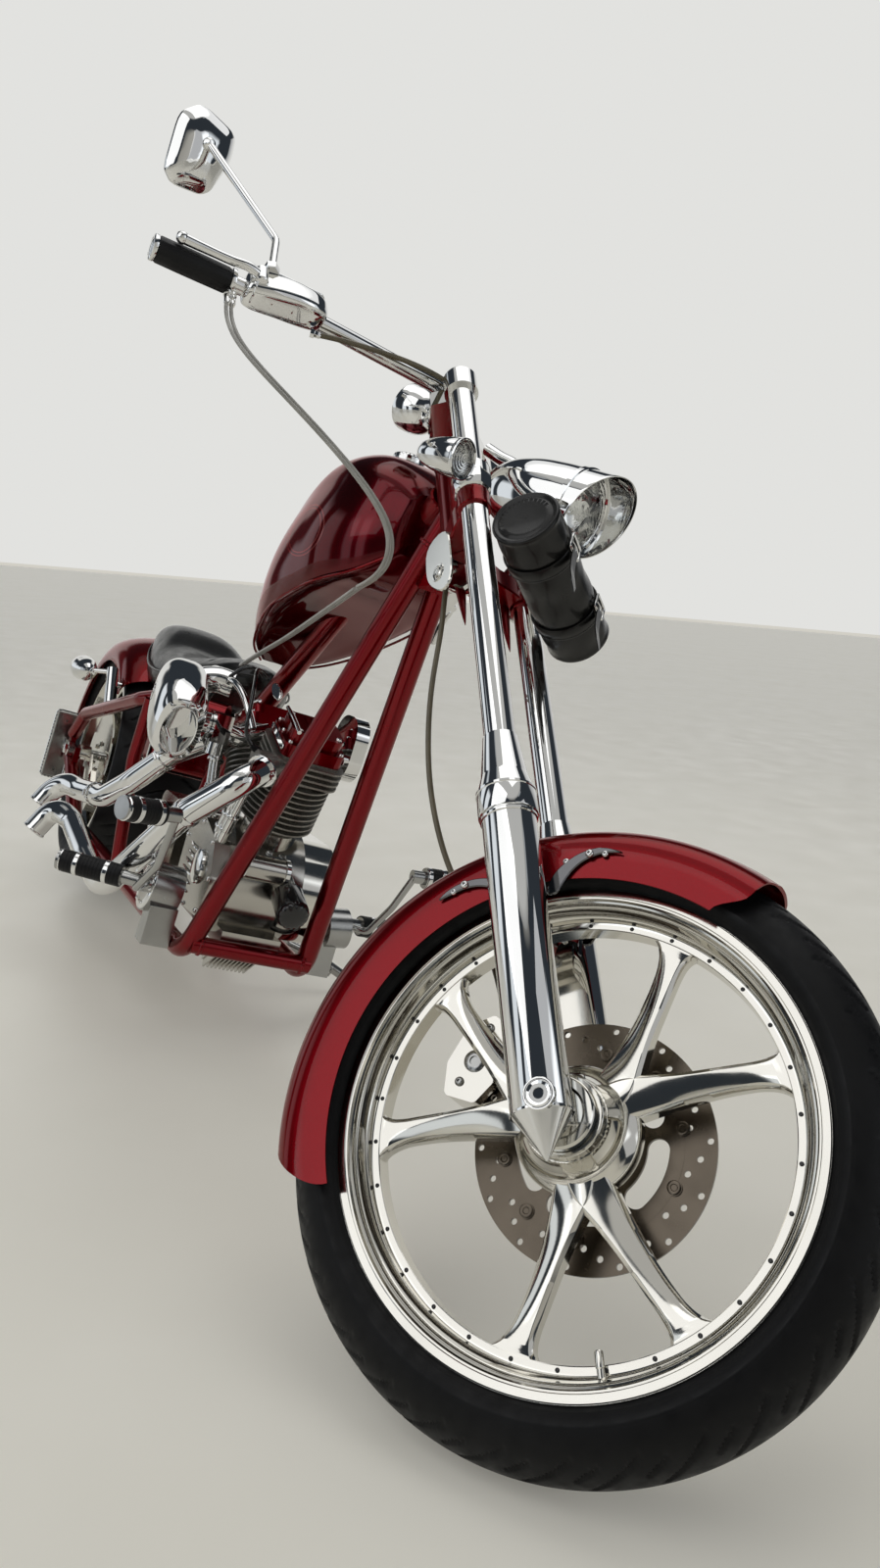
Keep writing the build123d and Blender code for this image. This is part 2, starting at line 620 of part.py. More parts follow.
def frame_rear():
    """Rear stays: from the seat post out and back to the axle plates, with upright struts."""
    stay = upper_stay(17.5)
    post = bar([(600, -176, 566), (560, -168, 420), (556, -137, 180)], 15, 80)
    lug = Pos(-84, -STAY_Y, 366) * Box(34, 14, 25)
    side = stay + post + lug
    return side + mirrored(side)


def tank():
    """Tall stretched fuel tank: sections from the neck back to the seat nose."""
    table = [
        (1388, 956, 1068, 50, 48),
        (1350, 916, 1104, 96, 88),
        (1270, 884, 1136, 134, 121),
        (1180, 856, 1134, 144, 131),
        (1080, 822, 1084, 142, 129),
        (970, 776, 982, 116, 104),
        (880, 740, 862, 76, 64),
        (836, 722, 790, 40, 36),
    ]
    faces = []
    for x, low, high, wide_low, wide_high in table:
        waist = low + 0.42 * (high - low)
        shoulder = low + 0.74 * (high - low)
        crown = low + 0.94 * (high - low)
        with BuildSketch(Plane(origin=(x, 0, 0), x_dir=(0, 1, 0), z_dir=(1, 0, 0))) as section:
            with BuildLine():
                ThreePointArc((wide_low * 0.86, low), (wide_low, waist), (wide_high * 0.94, shoulder))
                ThreePointArc((wide_high * 0.94, shoulder), (wide_high * 0.84, (shoulder + crown) / 2 + 4),
                              (wide_high * 0.6, crown))
                ThreePointArc((wide_high * 0.6, crown), (0, high), (-wide_high * 0.6, crown))
                ThreePointArc((-wide_high * 0.6, crown), (-wide_high * 0.84, (shoulder + crown) / 2 + 4),
                              (-wide_high * 0.94, shoulder))
                ThreePointArc((-wide_high * 0.94, shoulder), (-wide_low, waist), (-wide_low * 0.86, low))
                Line((-wide_low * 0.86, low), (wide_low * 0.86, low))
            make_face()
        faces.append(section.sketch)
    body = loft(faces, ruled=True)
    cap = rod((1225, 0, 1120), (1222, 0, 1154), 32, 29)
    line = [(1520, 0, 1135.7)] + BACKBONE[1:]
    tunnel = bar(line, BACKBONE_R + 3, [900, 160])
    open_below = slab([(x, z) for x, y, z in line] + [(700, 400), (1136, 500), (1520, 800)], 46, Plane.XZ)
    return body + cap - tunnel - open_below


def seat():
    """Solo seat: a dished cushion, raised at the back, on the rear fender and the backbone."""
    table = [(772, 660, 712, 40), (720, 640, 708, 84), (620, 606, 690, 128), (470, 586, 678, 140),
             (330, 570, 702, 140), (220, 574, 736, 126), (130, 640, 744, 100), (96, 672, 730, 76)]
    faces = []
    for x, low, high, half in table:
        with BuildSketch(Plane(origin=(x, 0, 0), x_dir=(0, 1, 0), z_dir=(1, 0, 0))) as section:
            with BuildLine():
                side = low + 0.5 * (high - low)
                Line((-half * 0.84, low), (half * 0.84, low))
                Line((half * 0.84, low), (half, side))
                ThreePointArc((half, side), (0, high), (-half, side))
                Line((-half, side), (-half * 0.84, low))
            make_face()
        faces.append(section.sketch)
    body = loft(faces, ruled=True)
    backbone = bar([(900, 0, 682.7)] + BACKBONE[2:], BACKBONE_R + 3, 160)
    return body - fender_envelope(0.3) - backbone


REAR_FENDER_HALF = [(163, 262), (164, 284), (158, 300), (140, 320), (110, 338), (70, 350), (35, 356),
                    (0, 358)]


def fender_envelope(gap):
    """Full turn of the rear fender's outside, grown by the gap, to trim what rests on it."""
    half = [(y + gap, r + gap) for y, r in REAR_FENDER_HALF[:-1]]
    crown = [(0, REAR_FENDER_HALF[-1][1] + gap)]
    outline = [(half[0][0], 0.01)] + half + crown + [(-y, r) for y, r in reversed(half)]
    outline += [(-half[0][0], 0.01)]
    return spin(outline, axis_point=(0, 0, REAR_AXLE_Z))


def rear_fender():
    """Wide rear fender shell close over the tyre."""
    half = REAR_FENDER_HALF
    lean_in = ((1, 0), (1, 0.1), (0.85, 0.5), (0.65, 0.75), (0.45, 0.9), (0.25, 1), (0.1, 1), (0, 1))
    inner = [(y - 3 * k[0], r - 3 * k[1]) for (y, r), k in zip(half, lean_in)]
    ring = list(half) + [(-y, r) for y, r in reversed(half[:-1])]
    ring += [(-y, r) for y, r in inner] + [(y, r) for y, r in reversed(inner[:-1])]
    section = make_face(Polyline(*[(r, y) for y, r in ring], close=True))
    turned = revolve(section, axis=Axis.Y, revolution_arc=132)
    return Pos(Z=REAR_AXLE_Z) * (Rot(Y=-46) * Rot(Y=-132) * turned)


def barrel_axis(which):
    """Unit vector along a cylinder, from the crank outward."""
    t = math.radians(TILTS[which])
    return Vector(math.sin(t), 0, math.cos(t))


def cam_chest():
    """Cover plate of the cams on the right of the crankcase."""
    chest = Plane.XZ * make_face(Polyline((936, 214), (1130, 222), (1154, 300), (1112, 372),
                                          (1020, 398), (930, 350), close=True))
    return Pos(Y=-90) * extrude(fillet(chest.vertices(), radius=20), 20, both=True)


def crankcase():
    """Crankcase halves, cam chest on the right, a nose, the filter boss and the feet on the frame."""
    c = Vector(*CRANK)
    case = rod(c + Vector(0, -72, 0), c + Vector(0, 72, 0), 116)
    for which in TILTS:
        a = barrel_axis(which)
        case = case + rod(c + a * 60, c + a * 134, 55)
    case = case + cam_chest()
    nose = rod((1172, -70, 346), (1172, 24, 346), 24)
    boss = rod((1120, 36, 332), (1176, 36, 311), 20)
    lug = Pos(1092.85, 0, 196) * Box(135.7, 120, 32)
    rear_lug = Pos(917.5, 0, 200) * Box(135, 120, 40)
    drive_boss = rod(c + Vector(0, 70, 0), c + Vector(0, 83.7, 0), 80)
    return case + nose + boss + lug + rear_lug + drive_boss + regulator()


def barrels():
    """Finned cylinders of both banks, their fins cut where the banks meet."""
    out = []
    c = Vector(*CRANK)
    middle = math.radians((TILTS["front"] + TILTS["rear"]) / 2)
    split = Vector(math.sin(middle), 0, math.cos(middle))
    for which, side in (("front", 1), ("rear", -1)):
        a = barrel_axis(which)
        s = BARREL_BASE + 12
        outline = [(BARREL_BASE, 30), (BARREL_BASE, 46), (s, 46), (s, 58)]
        for _ in range(FIN_COUNT):
            outline += [(s + 5, 58), (s + 5, BARREL_R), (s + 8.4, BARREL_R), (s + 8.4, 58)]
            s += FIN_PITCH
        outline += [(s, 58), (s, 30)]
        bank = spin(outline, axis_point=tuple(c), axis=tuple(a))
        over = Plane(origin=c + split * 200, x_dir=split, z_dir=Vector(0, 1, 0))
        out.append(bank - over.location * (Pos(0, -side * (100 - 1.5), 0) * Box(400, 200, 300)))
    return group(*out)


PIPE_R = 25.4
PIPE_WALL = 2.4
PIPES = {
    "front": ([(1216, -95, 530), (1254, -140, 505), (1190, -206, 414), (945, -249, 200), (780, -258, 222),
               (600, -268, 256), (534, -300, 270), (532, -332, 205)], [40, 100, 120, 300, 60, 38]),
    "rear": ([(842, -98, 528), (802, -150, 480), (722, -195, 392), (600, -216, 326), (480, -248, 312),
              (404, -280, 314), (400, -312, 246)], [40, 100, 120, 160, 60]),
}
PORTS = {"front": ((1188, -56, 543), 15.5), "rear": ((868, -60, 534), 14)}
PUSHRODS = {"front": (34, 62), "rear": (-34, -62)}


def heads():
    """Cylinder heads with side fins."""
    out = []
    c = Vector(*CRANK)
    for which in TILTS:
        a = barrel_axis(which)
        place = Plane(origin=c + a * HEAD_BASE, x_dir=(0, 1, 0), z_dir=a).location
        core = place * (Pos(Z=24) * Box(112, 112, 48))
        for k in range(4):
            core = core + place * (Pos(Z=4 + 12 * k) * extrude(fillet(Rectangle(144, 140).vertices(), 30), 4))
        for dx in PUSHRODS[which]:
            seat_at = c + a * (HEAD_BASE + 12.5) + Vector(0.85 * dx, 0, 0)
            core = core + rod(seat_at + Vector(0, -103, 0), seat_at + Vector(0, -60, 0), 14)
        inner, radius = PORTS[which]
        start, after = PIPES[which][0][:2]
        ahead = unit(Vector(*after) - Vector(*start))
        reach = (Vector(*start) - Vector(*inner)).normalized() * 25
        outside = Plane(origin=Vector(*start) - ahead * 0.3, z_dir=ahead).location
        beyond = outside * (Pos(Z=100) * Box(200, 200, 200))
        core = core + (rod(inner, Vector(*start) + reach, radius) - beyond)
        out.append(core)
    return group(*out)


def rockers():
    """Painted rocker boxes with a raised lid."""
    out = []
    c = Vector(*CRANK)
    for which in TILTS:
        a = barrel_axis(which)
        place = Plane(origin=c + a * (HEAD_BASE + 48.3), x_dir=(0, 1, 0), z_dir=a).location
        base = place * extrude(fillet(Rectangle(124, 112).vertices(), 18), 26)
        lid = place * (Pos(Z=26) * extrude(fillet(Rectangle(106, 92).vertices(), 22), 24))
        out.append(base + lid)
    return group(*out)


def pushrods():
    """Chrome pushrod tubes on the right of each cylinder, standing on the cam chest."""
    out = []
    c = Vector(*CRANK)
    below = Pos(Z=0.3) * cam_chest()
    for which, starts in PUSHRODS.items():
        a = barrel_axis(which)
        top = c + a * (HEAD_BASE + 5)
        above = Plane(origin=c + a * (HEAD_BASE - 1.8), z_dir=a).location * (Pos(Z=100) * Box(400, 400, 200))
        for dx in starts:
            foot = Vector(CRANK[0] + dx, -96, 366)
            head = top + Vector(0.85 * dx, -90, 0)
            tube = rod(foot, head, 8.5) + rod(foot, foot + (head - foot).normalized() * 60, 11.5) \
                + rod(head, head - (head - foot).normalized() * 32, 9.8)
            out.append(tube - below - above)
    return group(*out)


def intake():
    """Carburettor between the cylinders, with its bowl and a manifold to both heads."""
    body = rod((1034, -92, 562), (1034, -128, 566), 20) + Pos(1034, -140, 572) * Box(52, 34, 56)
    tee = Vector(1028, -40, 590)
    neck = rod((1034, -104, 564), (1030, -82, 572), 17) + rod((1030, -84, 571), tee, 16)
    arms = rod(tee, tee + Vector(0.9397, 0, -0.342) * 40.6, 13)
    arms = arms + rod(tee, tee + Vector(-0.9063, 0, -0.4226) * 42.0, 13)
    return body + neck + arms + rod((1034, -140, 544), (1034, -140, 520), 18)


def air_scoop():
    """Chrome ram scoop: an arm from the bracket outward and a deep shell with an oval mouth."""
    ahead = (0.93, -0.06, -0.36)
    table = [((872, -196, 634), 64, 84), ((905, -203, 616), 98, 134), ((970, -211, 582), 102, 150),
             ((1020, -216, 560), 98, 144), ((1048, -218, 548), 84, 124)]
    faces = []
    for at, wide, tall in table:
        place = Plane(origin=at, x_dir=perpendicular(ahead), z_dir=unit(ahead)).location
        faces.append(place * fillet(Rectangle(wide, tall).vertices(), 0.42 * wide))
    shell = loft(faces, ruled=True)
    rim = [place * Ellipse(34, 53), Plane(origin=(1006, -215, 565), x_dir=perpendicular(ahead),
                                          z_dir=unit(ahead)).location * Ellipse(26, 42)]
    arm = bar([(904, -98, 655), (890, -150, 652), (908, -200, 622)], 27, 50)
    boss = rod((1020, -175, 575), (1020, -157.3, 575), 20)
    return shell + arm + boss - loft(rim, ruled=True)


def exhaust(which):
    """Pipe from its port down and back along the right to a turned-out end, with its port flange."""
    points, bends = PIPES[which]
    start = Vector(*points[0])
    ahead = (Vector(*points[1]) - start).normalized()
    return pipe(points, PIPE_R, PIPE_WALL, bends) + rod(start, start + ahead * 5, 31)


def oil_filter():
    """Spin-on filter at the front of the crankcase."""
    a = Vector(0.93, 0.0, -0.36).normalized()
    start = Vector(1183, 34, 308)
    return rod(start, start + a * 68, 31) + rod(start + a * 68, start + a * 75, 31, 23)


def gearbox():
    """Gearbox case behind the engine, with a round cover and a foot against the seat post."""
    case = Pos(765, -14, 292) * Box(190, 190, 190)
    case = fillet(case.edges().filter_by(Axis.Y), radius=26)
    foot = Pos(650.15, 0, 250) * Box(85.7, 30, 40)
    return case + foot + rod((770, -105, 300), (770, -128, 300), 74)


def primary_drive():
    """Closed primary cover on the left."""
    with BuildSketch(Plane.XZ) as outline:
        with Locations((890, 292)):
            SlotCenterToCenter(270, 210)
    cover = Pos(Y=118) * extrude(outline.sketch, 34, both=True)
    return cover


def oil_tank():
    """Painted oil tank under the seat, with a tab to the seat post."""
    tank_body = Pos(470, 0, 470) * Box(110, 250, 130)
    tab = Pos(560, 0, 455) * Box(130, 40, 30)
    return fillet(tank_body.edges(), radius=28) + (tab - seat_post(17.3))


def regulator():
    """Finned regulator hung under the front of the crankcase."""
    base = Box(88, 92, 12)
    for k in range(11):
        base = base + Pos(0, -42 + 8.4 * k, -13) * Box(88, 3.2, 16)
    place = Plane(origin=(1098, -6, 158), x_dir=(0.8, 0, 0.6), z_dir=(-0.6, 0, 0.8)).location
    return place * base + Pos(1080, -6, 174) * Box(60, 60, 30)


def horn_cover():
    """Chrome shield on the left between the cylinders."""
    oval = fillet(Rectangle(112, 130).vertices(), 45)
    plate = Pos(1056, 122, 602) * (Rot(X=90) * extrude(oval, 14, both=True))
    return plate + rod((1100, 110, 581), (1100, 72.3, 581), 9)


def peg(side_in, side_out):
    """Rubber peg with two bright bands and an end cap."""
    a = Vector(*side_in)
    b = Vector(*side_out)
    d = (b - a).normalized()
    length = (b - a).length
    body = rod(a, a + d * 34, 13)
    body = body + rod(a + d * 34, b, 19)
    body = body + rod(b, b + d * 7, 19.5)
    for t in (0.42, 0.8):
        body = body + rod(a + d * (length * t - 7), a + d * (length * t + 7), 20)
    return body


def right_control():
    """Right forward control: polished drum, peg, pedal arm and brake pad."""
    drum = rod((1070, -141, 246), (1070, -198, 252), 50)
    drum = drum + Pos(1100, -168.2, 187.5) * Box(44, 53.6, 75)
    axis = rod((1092, -196, 258), (1090, -222, 258), 17)
    foot = peg((1090, -220, 259), (1016, -352, 254))
    arm = bar([(1094, -204, 262), (1150, -240, 258), (1268, -246, 330), (1352, -262, 432)], 7, [20, 60])
    pad = peg((1345, -258, 434), (1385, -356, 433))
    return drum + axis + foot + arm + pad


def left_control():
    """Left forward control: drum, peg, shift lever and toe peg."""
    drum = rod((1110, 159, 246), (1110, 205, 252), 40)
    drum = drum + Pos(1110, 158.15, 175) * Box(40, 33.7, 50) + Pos(1110, 172.5, 186) * Box(40, 35, 72)
    foot = peg((1110, 203, 262), (1090, 345, 262))
    arm = bar([(1112, 200, 262), (1150, 236, 262), (1196, 250, 330), (1226, 262, 404)], 7, [20, 60])
    pad = peg((1222, 258, 404), (1226, 336, 410))
    return drum + foot + arm + pad


REAR_SIGNAL_AT = (120.0, -246.0, 566.0)


def rear_signal_shells():
    """Chrome struts from the stays to the rear fender, each with a backward bullet lamp on a stalk."""
    post = rod((238, -185, 494), (188, -193.3, 588), 15)
    boss = rod((199, -193, 553), (199, -164.4, 553), 8)
    stalk = rod((190, -194, 580), (160, -236, 569), 6)
    shell = signal_shell(REAR_SIGNAL_AT, (-1, 0, 0), 1.1)
    return both((post - upper_stay(17.8)) + boss + stalk + shell)


def rear_signal_lenses():
    """Lenses of the rear bullet lamps."""
    return both(signal_lens(REAR_SIGNAL_AT, (-1, 0, 0), 1.1))


PLATE_HOLES = 140.0


def plate_bracket():
    """Upright plate holder beside the right axle plate."""
    plate = Pos(-140, -208, 330) * Box(8, 50, 178)
    for dz in (-PLATE_HOLES / 2, PLATE_HOLES / 2):
        plate = plate - rod((-150, -208, 330 + dz), (-130, -208, 330 + dz), 3.2)
    return plate + rod((-119.3, -STAY_Y, 330), (-138, -STAY_Y, 330), 7)


def tail_light():
    """Small lamp standing on the rear fender."""
    out = 358 + 0.4 + 11
    turn = math.radians(34)
    spot = (-out * math.sin(turn), 0, REAR_AXLE_Z + out * math.cos(turn))
    return Pos(*spot) * (Rot(Y=-34) * Box(52, 84, 22))


def rear_rim():
    """Rear wheel: wide stepped rim, six arms and hub."""
    half = REAR_RIM_HALF
    outline = [(-half, 226), (-half, REAR_RIM_R), (-half + 5, REAR_RIM_R), (-half + 7, 228.6),
               (-half + 26, 228.6), (-half + 36, 214), (half - 36, 214), (half - 26, 228.6),
               (half - 7, 228.6), (half - 5, REAR_RIM_R), (half, REAR_RIM_R), (half, 226),
               (half - 30, 216), (half - 44, 205), (-half + 44, 205), (-half + 30, 216)]
    rim = spin(outline)
    star = Cylinder(208, 40)
    for angle in SPOKE_ANGLES:
        window = Polyline((78, 0), (100, 22), (176, 50), (192, 0), (176, -50), (100, -22), close=True)
        face = fillet(make_face(window).vertices(), radius=7)
        star = star - Rot(Z=angle) * extrude(face, 60, both=True)
        face = fillet(make_face(Polyline((80, 0), (100, 26), (150, 96), (176, 80), (200, 0), (176, -80),
                                         (150, -96), (100, -26), close=True)).vertices(), radius=9)
        star = star - Rot(Z=angle + 60) * extrude(face, 60, both=True)
    hub = rod((0, -118, 0), (0, 118, 0), 42)
    wheel = rim + Rot(X=90) * star + hub
    wheel = wheel - rod((0, -200, 0), (0, 200, 0), AXLE_R + AXLE_GAP)
    return Pos(Z=REAR_AXLE_Z) * wheel


def rear_tyre():
    """Rear tyre."""
    body = tyre(REAR_TYRE_R, REAR_TYRE_W, REAR_CROWN_R, 229.0, REAR_RIM_HALF - 7, 243.0)
    return Pos(Z=REAR_AXLE_Z) * body


def rear_disc():
    """Rear brake disc inside the right of the wheel."""
    disc = rod((0, -131, REAR_AXLE_Z), (0, -125, REAR_AXLE_Z), 126) \
        + rod((0, -131, REAR_AXLE_Z), (0, -118.3, REAR_AXLE_Z), 50)
    return disc - rod((0, -200, REAR_AXLE_Z), (0, -100, REAR_AXLE_Z), AXLE_R + AXLE_GAP)


def rear_pulley():
    """Toothed belt pulley on the left of the hub."""
    wheel = rod((0, 118.3, REAR_AXLE_Z), (0, 166, REAR_AXLE_Z), 105)
    return wheel - rod((0, 100, REAR_AXLE_Z), (0, 200, REAR_AXLE_Z), AXLE_R + AXLE_GAP)


def rear_axle():
    """Rear axle through both plates, with its nuts."""
    axle = rod((0, -206, REAR_AXLE_Z), (0, 206, REAR_AXLE_Z), AXLE_R)
    nut = rod((0, -212, REAR_AXLE_Z), (0, -197.2, REAR_AXLE_Z), 18)
    return axle + nut + mirrored(nut)


def rear_caliper():
    """Rear brake caliper over the disc's lower front, on an arm from the axle plate."""
    block = Pos(92, -133, REAR_AXLE_Z - 84) * (Rot(Y=42) * Box(96, 36, 52))
    block = block - rod((0, -138, REAR_AXLE_Z), (0, -118, REAR_AXLE_Z), 132)
    arm = Plane.XZ * make_face(Polyline((20, 302), (-30, 302), (-30, 345), (24, 345), (84, 282), (66, 254),
                                        close=True))
    arm = Pos(Y=-151) * extrude(arm, 4, both=True)
    arm = arm + rod((0, -152, REAR_AXLE_Z), (0, -STAY_Y + 7.3, REAR_AXLE_Z), 20)
    arm = arm - rod((0, -190, REAR_AXLE_Z), (0, -140, REAR_AXLE_Z), AXLE_R + 0.02)
    arm = arm - rail_side(FRAME_R + 0.3)
    return block + arm + rod((70, -147, 282), (70, -155, 282), 12)


STAND_PIVOT = (900.0, 168.0, 150.0)
STAND_FOOT = (968.0, 352.0)


def side_stand():
    """Side stand: bent leg from the pivot to a flat foot that lies on the floor."""
    tilt = math.radians(LEAN)
    floor_normal = Vector(0, -math.sin(tilt), math.cos(tilt))
    p = Vector(*STAND_PIVOT)
    f = Vector(STAND_FOOT[0], STAND_FOOT[1], STAND_FOOT[1] * math.tan(tilt) + 10 / math.cos(tilt))
    leg = bar([tuple(p), tuple(p + (f - p) * 0.5 + Vector(0, 0, 10)), tuple(f)], 11, 120)
    eye = rod(p - Vector(0, 0, 16), p + Vector(0, 0, 16), 18)
    pad = rod(f - floor_normal * 10, f + floor_normal * 2, 24)
    return leg + eye + pad - rod(p - Vector(0, 0, 40), p + Vector(0, 0, 40), 6.06)


FORK_NODES = {
    "front_tyre": tyre(FRONT_TYRE_R, FRONT_TYRE_W, FRONT_CROWN_R, 267.8, 44.0, 281.0),
    "front_rim": front_rim(),
    "front_rotor": front_rotor(),
    "front_axle": front_axle(),
    "fork_tubes": group(fork_tubes(), tree_cups()),
    "fork_sliders": group(fork_sliders(), fender_mounts()),
    "lower_tree": lower_tree(),
    "upper_tree": group(upper_tree(), steering_stem(), steering_cover()),
    "front_fender": front_fender(),
    "front_caliper": front_caliper(),
    "headlight": headlight(),
    "front_signals": front_signal_shells(),
    "front_lenses": group(headlight_lens(), front_signal_lenses()),
    "handlebar": group(handlebar(), gauge()),
    "grips": grips(),
    "hand_controls": hand_controls(),
    "mirrors": mirrors(),
    "tool_roll": tool_roll(),
    "brake_hoses": group(brake_hose(), hand_hose()),
    "throttle_upper": throttle_upper(),
}

BODY_NODES = {
    "frame_cradle": frame_cradle(),
    "frame_spine": frame_spine(),
    "frame_rear": frame_rear(),
    "oil_tank": oil_tank(),
    "fuel_tank": tank(),
    "seat": seat(),
    "rear_fender": rear_fender(),
    "crankcase": crankcase() + gearbox(),
    "cylinders": group(barrels(), heads()),
    "rockers": rockers(),
    "engine_tubes": group(pushrods(), intake(), horn_cover()),
    "air_scoop": air_scoop(),
    "exhausts": group(exhaust("front"), exhaust("rear")),
    "oil_filter": oil_filter(),
    "primary_drive": primary_drive(),
    "foot_controls": group(right_control(), left_control()),
    "rear_signals": rear_signal_shells(),
    "rear_lenses": group(rear_signal_lenses(), tail_light()),
    "plate_bracket": plate_bracket(),
    "rear_rim": group(rear_rim(), rear_disc(), rear_pulley()),
    "rear_tyre": rear_tyre(),
    "rear_axle": rear_axle(),
    "rear_caliper": rear_caliper(),
    "throttle_lower": throttle_lower(),
    "side_stand": side_stand(),
}

STAND = Pos(*SHIFT) * Rot(X=-LEAN)
FORK = fork_plane().location
for name, shape in FORK_NODES.items():
    export_step(STAND * FORK * shape, "parts/" + name + ".step")
for name, shape in BODY_NODES.items():
    export_step(STAND * shape, "parts/" + name + ".step")
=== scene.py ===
"""Looks of the long custom motorcycle: finish, tread, trim, fasteners, padding, floor, light, camera.

Lengths in the tables are millimetres in one of two frames.  machine() takes the upright machine frame
(X forward, Y left, Z up, origin below the rear axle); fork() takes the fork frame (X ahead, Y left, Z up
along the tubes, origin at the front wheel centre).  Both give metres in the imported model's frame.
"""

import bmesh
import bpy
import json
import math
import numpy as np
from mathutils import Matrix, Vector

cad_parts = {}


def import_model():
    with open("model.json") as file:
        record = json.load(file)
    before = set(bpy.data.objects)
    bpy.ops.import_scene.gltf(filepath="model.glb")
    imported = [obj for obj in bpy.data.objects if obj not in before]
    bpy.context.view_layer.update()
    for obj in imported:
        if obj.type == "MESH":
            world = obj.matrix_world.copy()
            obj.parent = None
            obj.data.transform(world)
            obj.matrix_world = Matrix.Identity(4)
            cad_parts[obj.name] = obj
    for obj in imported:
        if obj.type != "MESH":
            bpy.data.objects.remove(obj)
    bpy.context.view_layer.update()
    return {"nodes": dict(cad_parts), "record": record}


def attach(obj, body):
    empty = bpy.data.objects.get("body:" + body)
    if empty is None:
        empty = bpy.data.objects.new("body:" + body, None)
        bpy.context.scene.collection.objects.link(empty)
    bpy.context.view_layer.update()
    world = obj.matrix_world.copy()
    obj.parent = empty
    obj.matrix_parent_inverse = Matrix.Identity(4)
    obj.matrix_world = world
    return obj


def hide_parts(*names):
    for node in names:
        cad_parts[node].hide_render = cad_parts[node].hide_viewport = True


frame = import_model()
NODES = frame["nodes"]

# The steering axis's rake, the bar's turn at its stop and the lean on the side stand.
RAKE = math.radians(41.37)
STEER = math.radians(37.7)
LEAN = math.radians(13.8)
# The point of the steering axis level with the front axle, how far ahead of it the axle lies, and the
# move from the machine frame's origin to the model's.
AXIS_FOOT = np.array([2168.1, 0.0, 280.7])
AXLE_AHEAD = 66.4
SHIFT = np.array([-1084.0, -112.9, 0.0])
REAR_AXLE_Z = 340.9
# The fork legs' place in the fork frame, both tyres, the bearings of the front wheel's blade pairs.
LEG_X, LEG_Y = -8.0, 122.85
FRONT_TYRE_R, FRONT_TYRE_WIDE = 350.7, 117.0
REAR_TYRE_R, REAR_TYRE_WIDE = 333.5, 297.0
BLADE_PAIRS = (29.0, 149.0, 269.0)
PIPE_R = 25.4
GROOVE_HALF_WIDE = 3.6
MERGE_DISTANCE = 2e-6

UP = np.array([-math.sin(RAKE), 0.0, math.cos(RAKE)])
STRAIGHT = np.array([math.cos(RAKE), 0.0, math.sin(RAKE)])
AHEAD = STRAIGHT * math.cos(STEER) + np.array([0.0, 1.0, 0.0]) * math.sin(STEER)
LEFT = np.cross(UP, AHEAD)
FORK_ORIGIN = AXIS_FOOT + AHEAD * AXLE_AHEAD
TILT = np.array([[1, 0, 0], [0, math.cos(LEAN), math.sin(LEAN)], [0, -math.sin(LEAN), math.cos(LEAN)]])


def machine(points):
    """Points of the machine frame, in metres of the model's frame: leaned about X, then shifted."""
    return (np.asarray(points, float).reshape(-1, 3) @ TILT.T + SHIFT) / 1000


def fork(points):
    """Points of the fork frame: turned to the left stop and raked first, then as machine()."""
    p = np.asarray(points, float).reshape(-1, 3)
    return machine(FORK_ORIGIN + p[:, :1] * AHEAD + p[:, 1:2] * LEFT + p[:, 2:] * UP)


# The frame that the tables for each body are written in.
PLACES = {"frame": machine, "rear_wheel": machine, "stand": machine, "fork": fork, "front_wheel": fork}


def unit(v):
    """The vector divided by its length."""
    v = np.asarray(v, float)
    return v / np.linalg.norm(v)


def basis(axis):
    """Two directions square to the axis and to each other."""
    a = unit(axis)
    helper = np.array([0, 0, 1.0]) if abs(a[2]) < 0.9 else np.array([1.0, 0, 0])
    first = unit(np.cross(helper, a))
    return first, np.cross(a, first)


def smooth(rows, count):
    """Cubic Hermite curve through the rows.

    Each row's slope is the weighted difference of its neighbours over the chord length, and the curve is
    sampled at equal steps of chord length.
    """
    p = np.asarray(rows, float)
    t = np.r_[0, np.cumsum(np.linalg.norm(np.diff(p, axis=0), axis=1))]
    m = np.gradient(p, t, axis=0)
    s = np.linspace(0, t[-1], count)
    i = np.clip(np.searchsorted(t, s, side="right") - 1, 0, len(t) - 2)
    h = (t[i + 1] - t[i])[:, None]
    u = (s - t[i])[:, None] / h
    start = (2 * u ** 3 - 3 * u ** 2 + 1) * p[i] + (u ** 3 - 2 * u ** 2 + u) * h * m[i]
    end = (3 * u ** 2 - 2 * u ** 3) * p[i + 1] + (u ** 3 - u ** 2) * h * m[i + 1]
    return start + end


def step(x, low, high):
    """Smooth ramp: 3k^2 - 2k^3 of the clipped share k of the way from low to high."""
    k = np.clip((np.asarray(x, float) - low) / (high - low), 0, 1)
    return k * k * (3 - 2 * k)


def bent(points, bends, pitch=5.0):
    """Centre line of a bent metal tube: straight runs joined by arcs of the given radii."""
    pts = np.asarray(points, float)
    line = [pts[0]]
    for k in range(1, len(pts) - 1):
        into, out = unit(pts[k] - pts[k - 1]), unit(pts[k + 1] - pts[k])
        angle = math.acos(float(np.clip(into @ out, -1, 1)))
        radius = bends[k - 1]
        cut = radius * math.tan(angle / 2)
        first = pts[k] - into * cut
        across = unit(out - into @ out * into)
        for f in np.linspace(0, angle, max(3, int(radius * angle / pitch))):
            line.append(first + into * radius * math.sin(f) + across * radius * (1 - math.cos(f)))
    line.append(pts[-1])
    return np.array(line)


